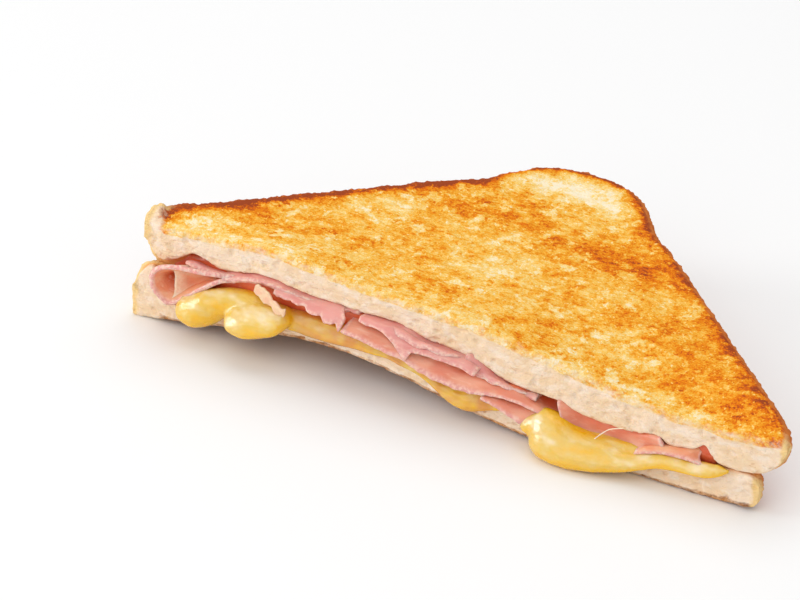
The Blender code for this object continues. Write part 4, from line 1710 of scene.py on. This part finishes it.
    last_rows: Rows = (
        ((44.5, -1.6, 6.0), (47.5, -1.6, 7.2), (51.0, -1.5, 8.1), (54.5, -1.3, 8.2), (57.5, -1.0, 7.9),
         (60.0, -0.7, 7.6)),
        ((44.8, -1.2, 6.9), (47.8, -1.2, 8.3), (51.2, -1.1, 9.2), (54.4, -0.8, 9.5), (56.8, -0.4, 9.4),
         (58.6, 0.4, 8.9)),
        ((45.5, 0.4, 7.2), (48.0, 0.6, 8.4), (51.4, 0.6, 9.3), (54.6, 0.8, 9.6), (57.2, 1.6, 10.6),
         (59.0, 2.0, 10.8)),
        ((46.0, 5.0, 8.6), (48.4, 5.0, 8.9), (51.4, 5.0, 9.3), (54.6, 5.0, 9.6), (57.2, 5.0, 10.0),
         (60.0, 5.0, 10.4)),
    )
    under_rows: Rows = (
        ((8.2, -2.8, 8.5), (11.0, -2.8, 7.7), (13.6, -2.8, 6.9), (16.2, -2.8, 5.9), (18.4, -2.7, 5.2),
         (21.5, -2.4, 5.0), (25.5, -2.0, 5.4)),
        ((8.4, -2.0, 8.9), (11.0, -2.0, 8.6), (14.0, -2.0, 8.2), (17.0, -2.0, 7.6), (20.0, -1.9, 7.0),
         (23.0, -1.7, 6.7), (26.0, -1.4, 6.6)),
        ((8.6, -0.4, 9.0), (11.5, -0.4, 9.2), (14.5, -0.4, 9.2), (17.5, -0.4, 8.9), (20.5, -0.4, 8.6),
         (23.5, -0.4, 8.2), (26.5, -0.4, 7.8)),
        ((9.6, 5.0, 8.9), (12.0, 5.0, 8.9), (15.0, 5.0, 8.9), (18.0, 5.0, 8.8), (21.0, 5.0, 8.7),
         (24.0, 5.0, 8.6), (26.8, 5.0, 8.5)),
        ((12.0, 48.0, 10.6), (14.0, 46.0, 10.6), (16.0, 44.0, 10.6), (18.0, 42.0, 10.6), (20.0, 40.0, 10.5),
         (23.0, 37.0, 10.5), (26.0, 34.0, 10.5)),
    )
    tab_rows: Rows = (
        ((-67.4, -1.0, 17.9), (-65.6, -1.3, 17.6), (-63.2, -1.3, 17.4), (-60.2, -1.1, 17.4),
         (-57.2, -0.8, 17.8)),
        ((-67.6, -0.6, 18.2), (-65.6, -0.6, 18.4), (-63.6, -0.5, 18.1), (-60.8, -0.4, 17.8),
         (-55.5, -0.2, 17.9)),
        ((-66.9, 0.6, 17.8), (-65.2, 0.6, 17.9), (-63.2, 0.7, 17.6), (-60.4, 0.8, 17.4),
         (-55.5, 1.0, 17.4)),
        ((-66.4, 3.0, 15.4), (-64.8, 3.0, 15.4), (-62.8, 3.0, 15.3), (-60.2, 3.0, 15.2),
         (-55.5, 3.0, 15.2)),
    )
    strip_rows: Rows = (
        ((-49.3, -1.6, 16.2), (-47.0, -2.3, 15.4), (-44.8, -3.0, 15.0), (-42.8, -3.7, 14.6),
         (-41.2, -4.2, 14.2), (-40.2, -4.4, 14.3)),
        ((-49.4, -1.5, 17.2), (-46.9, -2.1, 16.7), (-44.6, -2.9, 16.1), (-42.5, -3.6, 15.5),
         (-40.9, -4.2, 15.2), (-39.8, -4.4, 15.1)),
        ((-49.0, -1.2, 18.9), (-47.4, -1.6, 19.4), (-45.2, -2.4, 18.6), (-43.2, -3.2, 17.5),
         (-41.4, -3.9, 16.9), (-39.8, -4.1, 16.7)),
    )
    screen_rows: Rows = (
        ((-73.0, 3.4, 19.4), (-60.0, 1.6, 19.6), (-44.0, 1.0, 19.0), (-22.0, 1.4, 18.0), (0.0, 4.0, 15.0),
         (24.0, 3.4, 11.8), (44.0, 1.9, 12.2), (62.0, 1.8, 13.0)),
        ((-73.0, 3.6, 14.0), (-60.0, 1.6, 16.0), (-44.0, 1.0, 16.6), (-22.0, 2.0, 15.0), (0.0, 4.4, 12.0),
         (24.0, 3.8, 9.6), (44.0, 2.2, 9.0), (62.0, 1.6, 9.8)),
        ((-71.5, 3.0, 5.6), (-60.0, 2.2, 7.0), (-44.0, 1.6, 12.4), (-22.0, 3.8, 12.0), (0.0, 3.4, 9.4),
         (24.0, 3.2, 8.0), (44.0, 2.6, 6.6), (62.0, 1.8, 7.6)),
    )
    reach_depths: Point = (-0.3, 6.0, 58.0)
    top_left: Pair = (-57.8, -45.0)
    top_right: Pair = (-24.0, -20.0)
    top_lip: float = 0.05
    top_start: float = 1.0
    top_reach: Stations = ((-58, 1.6), (-50, 1.2), (-40, 1.0), (-32, 0.8), (-28, 0.3), (-24, -2.5))
    top_drop: Stations = ((-58, 1.0), (-50, 0.6), (-40, 0.4), (-24, 0.3))

    def pressed(self, places: Sequence[float], depth: float) -> Row:
        """A row of stations of a slice that is pressed against the upper bread.

        Args:
            places: Where the stations are along the cut.
            depth: How far behind the cut they are.

        Returns:
            The stations.
        """
        x = np.array(places)
        y = np.minimum(depth, self.layers.filling_reach(x))
        return tuple(zip(x, y, self.layers.under_bread(x, y)))

    def top_slice(self, u: np.ndarray, v: np.ndarray) -> Places:
        """Places points on the slice along the edge of the upper bread.

        Args:
            u: Shares of the way along the cut.
            v: Shares of the way from the edge that shows to the hidden one.

        Returns:
            The X, Y and Z of the points.
        """
        inward = np.clip((v - self.top_lip) / (1 - self.top_lip), 0, 1)
        outward = np.clip(1 - v / self.top_lip, 0, 1)
        x = mix(mix(*self.top_left, inward), mix(*self.top_right, inward), u)
        inner = (self.layers.filling_reach(x) - self.top_start) * inward**2
        y = self.top_start + inner - (self.top_start + along(x, self.top_reach)) * outward
        return x, y, self.layers.under_bread(x, y) - along(x, self.top_drop) * outward

    def roll(self, u: np.ndarray, v: np.ndarray) -> Places:
        """Places points on the slice that curls round on itself at the left end of the cut.

        Args:
            u: Shares of the way round the curl.
            v: Shares of the way from the edge that shows to the hidden one.

        Returns:
            The X, Y and Z of the points.
        """
        x, y, z = route_point(u, self.roll_route)
        middle_x, middle_z = self.roll_middle
        wide, tall = 1 - self.roll_narrowing * v, 1 - self.roll_flattening * v
        return mix(middle_x, x, wide), y + self.roll_depth * v, mix(middle_z, z, tall)

    def lofted(self, name: str, rows: Rows, meat: Meat, **traits: float) -> HamSheet:
        """A slice on a smooth surface through rows of stations."""
        loft = Loft(rows)
        return HamSheet(name, self.shop, loft.place, loft.width(), loft.length(), meat, **traits)

    def folded(self) -> list[HamSheet]:
        """The three turns of the folded slice.

        Returns:
            The slices of ham, the main one first.
        """
        shown, middle, deep = self.reach_depths
        front, hidden = self.fold_inner
        inner, beside = self.over_inner, self.beside_inner
        fold_rows = (*self.fold_rows, self.pressed(front, shown), self.pressed(front, middle))
        fold_rows += (self.pressed(hidden, deep),)
        over_rows = (*self.over_rows, self.pressed(inner, shown), self.pressed(inner, middle))
        beside_rows = (*self.beside_rows, self.pressed(beside, shown), self.pressed(beside, middle))
        return [
            self.lofted("ham_fold", fold_rows, Meat.PALE, seed=2.0),
            self.lofted("ham_fold_over", over_rows, Meat.PALE, thickness=0.7, seed=2.5),
            self.lofted("ham_fold_beside", beside_rows, Meat.PALE, thickness=0.9, seed=2.8),
        ]

    def sheets(self) -> dict[str, list[HamSheet]]:
        """Lists the slices of ham.

        Returns:
            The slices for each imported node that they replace, and under no name the one that closes a gap.
        """
        pale, rosy, warm = Meat.PALE, Meat.ROSY, Meat.WARM
        top = HamSheet(
            "ham_top", self.shop, self.top_slice, width=36, length=50, meat=pale, wrinkle=0.14, seed=1.0,
        )
        loop = HamSheet(
            "ham_loop", self.shop, self.roll, width=62, length=6, meat=warm, pitch=0.35,
            wrinkle=0.12, seed=7.0,
        )
        torn = {"thickness": 0.55, "pitch": 0.25, "wrinkle": 0.4, "ragged": 0.9, "ragged_back": 0.9}
        return {
            "ham_top": [top],
            "ham_fold": self.folded(),
            "ham_flap": [self.lofted("ham_flap", self.flap_rows, pale, thickness=0.9, ragged=0.9, seed=3.0)],
            "ham_low": [
                self.lofted("ham_low", self.low_rows, rosy, seed=4.0),
                self.lofted("ham_low_end", self.end_rows, rosy, thickness=0.9, seed=4.5),
                self.lofted("ham_low_last", self.last_rows, warm, thickness=0.8, wrinkle=0.1, seed=4.8),
            ],
            "ham_under": [self.lofted("ham_under", self.under_rows, rosy, seed=5.0)],
            "ham_tab": [self.lofted("ham_tab", self.tab_rows, pale, wrinkle=0.1, seed=6.0)],
            "ham_loop": [
                loop,
                self.lofted("ham_loop_turn", self.turn_rows, Meat.CURL, thickness=0.8, wrinkle=0.1, seed=7.5),
            ],
            "ham_strip": [self.lofted("ham_strip", self.strip_rows, Meat.FAT, seed=8.0, **torn)],
            # the sheet that closes the gaps, in ham with painted shade
            "": [self.lofted("ham_behind", self.screen_rows, Meat.SHADED, pitch=0.8, wrinkle=0.4, seed=9.0)],
        }

    def build(self) -> list[Piece]:
        """Makes every slice of ham.

        Returns:
            The finished pieces.
        """
        recipes = {finish.meat: finish.recipe() for finish in self.finishes}
        pieces = []
        for node, sheets in self.sheets().items():
            for sheet in sheets:
                piece = sheet.build()
                recipes[sheet.meat].apply(piece)
                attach(piece, BODY)
                if node:
                    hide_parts(node)
                pieces.append(piece)
        return pieces


@dataclass(frozen=True)
class CheeseRun:
    """Cheese that has run out over the cut: a rounded body along it.

    Attributes:
        stations: Places along the cut, each with the body's front, back, bottom and top there.
        lean: How far the body's top leans back.
        start_rounding: How long its rounded start is.
        end_rounding: How long its rounded end is.
        sections: How many sections it has.
        sides: How many points each section has.
        least_fullness: What is left of a section's area at the ends.
    """

    stations: tuple[Section, ...]
    lean: float = 0.2
    start_rounding: float = 2.0
    end_rounding: float = 2.0
    sections: int = 90
    sides: int = 36
    least_fullness: float = 0.0004

    def fullness(self, x: np.ndarray) -> np.ndarray:
        """How full the body is, falling to nothing at its rounded ends.

        Args:
            x: Places along the cut.

        Returns:
            The fullness at each place, up to 1.
        """
        from_start = np.clip((x - self.stations[0][0]) / self.start_rounding, 0, 1)
        from_end = np.clip((self.stations[-1][0] - x) / self.end_rounding, 0, 1)
        full = (1 - (1 - from_start) ** 2) * (1 - (1 - from_end) ** 2)
        return np.sqrt(np.clip(full, self.least_fullness, 1))

    def rings(self) -> np.ndarray:
        """Works out the sections of the body.

        Returns:
            The points of each section, from one end to the other.
        """
        share = (1 - np.cos(np.linspace(0, math.pi, self.sections))) / 2
        x = mix(self.stations[0][0], self.stations[-1][0], share)
        front, back, low, high = (
            along(x, tuple((row[0], row[column]) for row in self.stations)) for column in range(1, 5)
        )
        full = self.fullness(x)[:, None]
        angle = np.linspace(0, 2 * math.pi, self.sides, endpoint=False)[None]
        half_depth, half_height = ((back - front) / 2)[:, None] * full, ((high - low) / 2)[:, None] * full
        y = ((front + back) / 2)[:, None] + half_depth * (np.cos(angle) + self.lean * np.sin(angle))
        z = ((low + high) / 2)[:, None] + half_height * np.sin(angle)
        return np.stack((np.broadcast_to(x[:, None], y.shape), y, z), axis=2)

    def add_to(self, shape: bmesh.types.BMesh) -> None:
        """Adds the closed body to a mesh.

        Args:
            shape: The mesh that is being edited.
        """
        rings = [[shape.verts.new(point) for point in ring] for ring in self.rings()]
        for near, far in zip(rings, rings[1:]):
            for side in range(self.sides):
                after = (side + 1) % self.sides
                shape.faces.new((near[side], near[after], far[after], far[side]))
        shape.faces.new(rings[0][::-1])
        shape.faces.new(rings[-1])


@dataclass
class MeltedCheese:
    """The cheese layer and what has run out of it over the cut."""

    layers: Layers
    shop: Workshop
    finish: CheeseFinish
    string_finish: CheeseFinish
    voxel: float = 0.44
    slab_voxel: float = 0.8
    ends: Pair = (-60.0, 58.0)
    front: float = -0.8
    back_step: float = -2.0
    slab_thickness: float = 8.0
    soft_rounds: int = 5
    relief: Relief = Relief((5, 5, 3), 0.16, 4.4)
    off_table: float = 0.05
    # the light that the painted light and shade on the cheese follows
    light_from: Point = (-0.45, -0.62, 0.64)
    thin_start: Fade = Fade(-42.0, 6.0)
    thin_end: Fade = Fade(18.0, -4.0)
    thin_relief: Relief = Relief((3.5, 3.5, 3.5), 0.9, 6.6, 2)
    thinnest: float = 0.9
    runs: tuple[CheeseRun, ...] = (
        CheeseRun((
            (-69.0, -4.0, 0.2, 6.8, 9.6), (-67.6, -5.0, 0.6, 5.2, 10.6), (-65.5, -5.6, 0.8, 4.3, 11.6),
            (-63.5, -5.8, 1.0, 4.1, 12.6), (-61.5, -5.5, 1.2, 4.6, 13.7), (-59.0, -4.6, 1.5, 5.8, 14.4),
            (-56.5, -3.6, 1.8, 8.0, 14.9), (-54.0, -3.0, 2.0, 10.2, 15.2), (-50.0, -2.6, 2.0, 11.0, 15.4),
            (-46.0, -2.4, 2.0, 10.8, 14.9), (-42.0, -2.2, 2.0, 10.4, 14.2),
        )),
        CheeseRun((
            (-55.7, -5.4, 0.5, 8.6, 11.6), (-53.5, -6.6, 0.5, 7.5, 12.6), (-50.0, -7.0, 0.5, 6.9, 14.0),
            (-46.0, -6.8, 0.8, 7.6, 14.8), (-42.5, -6.2, 0.8, 9.0, 14.8), (-39.0, -5.0, 0.8, 10.8, 14.4),
        ), lean=0.55, start_rounding=2.6, end_rounding=3.0),
        CheeseRun((
            (-44.0, -2.4, 1.5, 10.0, 14.6), (-40.0, -2.2, 1.5, 9.6, 14.0), (-36.0, -2.0, 1.5, 9.3, 13.4),
            (-32.0, -1.9, 1.4, 9.2, 13.0), (-28.0, -1.8, 1.3, 9.3, 12.7), (-24.0, -1.6, 1.2, 9.6, 12.3),
            (-20.0, -1.4, 1.1, 9.7, 12.0), (-16.0, -1.2, 1.0, 9.7, 11.2), (-12.0, -1.0, 1.0, 8.8, 10.2),
            (-8.0, -0.9, 1.0, 7.8, 9.2), (-4.5, -1.2, 1.0, 6.4, 8.4), (-1.5, -1.8, 1.0, 4.8, 8.0),
            (2.0, -2.3, 1.0, 3.5, 7.8), (5.0, -2.0, 1.0, 3.3, 7.7), (8.0, -1.5, 1.0, 4.2, 7.6),
            (11.0, -1.0, 1.0, 5.2, 7.0), (14.0, -0.6, 0.8, 5.4, 6.4),
        )),
        CheeseRun((
            (20.0, -3.6, 0.6, 3.6, 8.2), (21.5, -5.0, 0.8, 1.6, 9.6), (23.5, -6.2, 1.0, 0.2, 10.2),
            (26.5, -7.0, 1.2, -0.1, 9.6), (30.0, -7.1, 1.4, -0.1, 8.0), (34.0, -6.7, 1.6, 0.2, 7.2),
            (38.0, -5.9, 1.6, 0.9, 7.0), (42.0, -4.8, 1.6, 1.8, 6.6), (46.0, -3.8, 1.4, 3.1, 6.9),
            (50.0, -3.0, 1.2, 4.5, 8.2), (54.0, -2.5, 1.2, 5.2, 8.6), (57.0, -2.3, 1.0, 5.4, 8.2),
            (60.5, -2.1, 0.8, 5.4, 8.6), (63.3, -1.5, 0.6, 6.2, 8.9), (65.8, -0.8, 0.5, 7.4, 8.9),
        ), lean=0.45, end_rounding=3.5),
        CheeseRun((
            (17.7, -3.2, -0.4, 4.6, 5.8), (19.0, -4.0, 0.2, 4.0, 7.0), (20.8, -4.4, 0.6, 3.4, 8.4),
            (24.0, -4.4, 1.0, 4.0, 9.4),
        ), start_rounding=1.4),
    )
    string_route: Row = (
        (34.2, -2.4, 5.4), (35.4, -1.8, 7.0), (36.7, -1.5, 8.5), (38.1, -1.2, 9.8), (39.4, -1.0, 10.4),
        (41.2, -0.5, 10.8),
    )
    string_radius: float = 0.12
    string_points: int = 28
    string_facets: int = 3

    def slab(self) -> Piece:
        """Makes the melted slice that lies on the lower slice of bread.

        Returns:
            The slice.
        """
        start, end = self.ends
        back = [(x, float(self.layers.filling_reach(x))) for x in np.arange(end, start, self.back_step)]
        front = [(start, self.front), (end, self.front)]
        slab = self.shop.flat_slab("cheese_layer", front + back, self.slab_thickness)
        self.shop.remeshed(slab, self.slab_voxel)
        points = self.shop.points_of(slab)
        share = np.clip(points[:, 2] / self.slab_thickness + 0.5, 0, 1)
        x, y = points[:, 0], np.clip(points[:, 1], 0, None)
        low = self.layers.lower_face(x, y, 0.0) + self.layers.clearance
        height = mix(low, self.layers.cheese_top(x, y), share)
        self.shop.put_points(slab, np.column_stack((x, points[:, 1], height)))
        return slab

    def add_runs(self, obj: Piece) -> None:
        """Adds what has run out to the layer.

        Args:
            obj: The layer.
        """
        with editing(obj.data) as shape:
            for run in self.runs:
                run.add_to(shape)
            bmesh.ops.recalc_face_normals(shape, faces=shape.faces)

    def thinness(self, points: np.ndarray) -> np.ndarray:
        """How thinly the cheese is spread at each place, where the bread and ham show through it."""
        spread = self.thin_start.at(points[:, 0]) * self.thin_end.at(points[:, 0])
        return spread * np.clip(0.5 + self.thin_relief.rise(points), 0, self.thinnest)

    def string(self) -> Piece:
        """Makes the thin string of cheese that is drawn up to the ham.

        Returns:
            The string.
        """
        curve = bpy.data.curves.new("string_line", "CURVE")
        curve.dimensions = "3D"
        curve.bevel_depth = self.string_radius
        curve.bevel_resolution = self.string_facets
        curve.use_fill_caps = True
        points = np.column_stack(route_point(np.linspace(0, 1, self.string_points), self.string_route))
        return self.shop.drawn("cheese_string", curve, points, closed=False)

    def build(self) -> list[Piece]:
        """Makes the cheese.

        Returns:
            The finished pieces.
        """
        cheese = self.slab()
        self.add_runs(cheese)
        self.shop.remeshed(cheese, self.voxel)
        self.shop.softened(cheese, self.soft_rounds)
        points = self.shop.points_of(cheese)
        points += self.shop.normals_of(cheese) * self.relief.rise(points)[:, None]
        points[:, 2] = np.maximum(points[:, 2], self.off_table)
        self.shop.put_points(cheese, points)
        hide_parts("cheese")
        pieces = [cheese, self.string()]
        for piece, finish in zip(pieces, (self.finish, self.string_finish)):
            # lit: how far each place faces the light, for the painted light and shade
            self.shop.mark(piece, "lit", self.shop.normals_of(piece) @ np.array(self.light_from))
            self.shop.mark(piece, "thin", self.thinness(self.shop.points_of(piece)))
            self.shop.carried(piece)
            finish.recipe().apply(piece)
            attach(piece, BODY)
        return pieces


class Side(Enum):
    """Where a studio light stands."""

    ABOVE = "above"
    LEFT = "left"
    FRONT = "front"


@dataclass(frozen=True)
class SoftBox:
    """A broad white lamp."""

    side: Side
    place: Point
    width: float
    power: float


@dataclass
class Studio:
    """The floor, the lights and the camera."""

    origin: np.ndarray
    eye: Point = (264.755, -545.978, 362.94)
    target: Point = (-13.798, 0.0, 24.83)
    roll: float = 0.054973
    focal_pixels: float = 3232.5
    frame_width: float = 800.0
    sensor: float = 36.0
    far_limit: float = 20.0
    floor_half: float = 3.0
    floor_squares: int = 8
    floor_colour: Colour = (0.93, 0.93, 0.93)
    surround: float = 0.57
    boxes: tuple[SoftBox, ...] = (
        SoftBox(Side.ABOVE, (-0.05, 0.35, 0.95), 1.2, 4.1),
        SoftBox(Side.LEFT, (-0.85, -0.45, 0.3), 0.5, 3.2),
        SoftBox(Side.FRONT, (0.05, -0.8, 0.72), 1.1, 2.9),
    )

    def floor(self) -> None:
        """A plain pale floor."""
        mesh = bpy.data.meshes.new("floor")
        squares = self.floor_squares
        with editing(mesh) as shape:
            bmesh.ops.create_grid(shape, x_segments=squares, y_segments=squares, size=self.floor_half)
        floor = linked("floor", mesh)
        recipe = Recipe("floor_white")
        recipe.set(Base_Color=self.floor_colour, Roughness=0.6)
        recipe.apply(floor)

    def lights(self) -> None:
        """Soft lights round the sandwich, and an even pale surround."""
        for box in self.boxes:
            lamp = bpy.data.lights.new(box.side.value, "AREA")
            lamp.shape = "DISK"
            lamp.size = box.width
            lamp.energy = box.power
            obj = linked(box.side.value, lamp)
            obj.location = box.place
            obj.rotation_euler = Vector(box.place).to_track_quat("Z", "Y").to_euler()
        world = bpy.data.worlds.new("surround")
        world.use_nodes = True
        white = world.node_tree.nodes["Background"]
        white.inputs["Color"].default_value = (1.0, 1.0, 1.0, 1.0)
        white.inputs["Strength"].default_value = self.surround
        bpy.context.scene.world = world
        bpy.context.scene.view_settings.view_transform = "Standard"

    def camera(self) -> None:
        """The camera, where the picture was taken from."""
        eye = Vector(self.eye) * MM + Vector(self.origin)
        ahead = (Vector(self.target) * MM + Vector(self.origin) - eye).normalized()
        right = ahead.cross(Vector((0.0, 0.0, 1.0))).normalized()
        up = right.cross(ahead)
        across = right * math.cos(self.roll) + up * math.sin(self.roll)
        upward = up * math.cos(self.roll) - right * math.sin(self.roll)
        data = bpy.data.cameras.new("camera")
        data.sensor_width = self.sensor
        data.lens = self.focal_pixels / self.frame_width * self.sensor
        data.clip_end = self.far_limit
        camera = linked("camera", data)
        turned = Matrix((across, upward, -ahead)).transposed().to_4x4()
        camera.matrix_world = Matrix.Translation(eye) @ turned
        bpy.context.scene.camera = camera

    def build(self) -> None:
        """Sets up everything round the sandwich."""
        self.floor()
        self.lights()
        self.camera()


def main() -> None:
    """Builds the studio and each part of the sandwich."""
    logging.basicConfig(level=logging.INFO, format="%(name)s: %(message)s")
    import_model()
    layers = Layers()
    shop = Workshop(layers)
    Studio(shop.origin).build()
    pieces = [
        UpperSlice("bread_top", layers, shop, BreadFinish("toasted_bread")).build(),
        LowerSlice("bread_bottom", layers, shop, PALE_BREAD).build(),
        *HamFilling(layers, shop).build(),
        *MeltedCheese(layers, shop, CheeseFinish(), CHEESE_THREAD).build(),
    ]
    for piece in pieces:
        LOG.info("%s: %d triangles", piece.name, shop.triangles(piece))


if __name__ == "__main__":
    main()
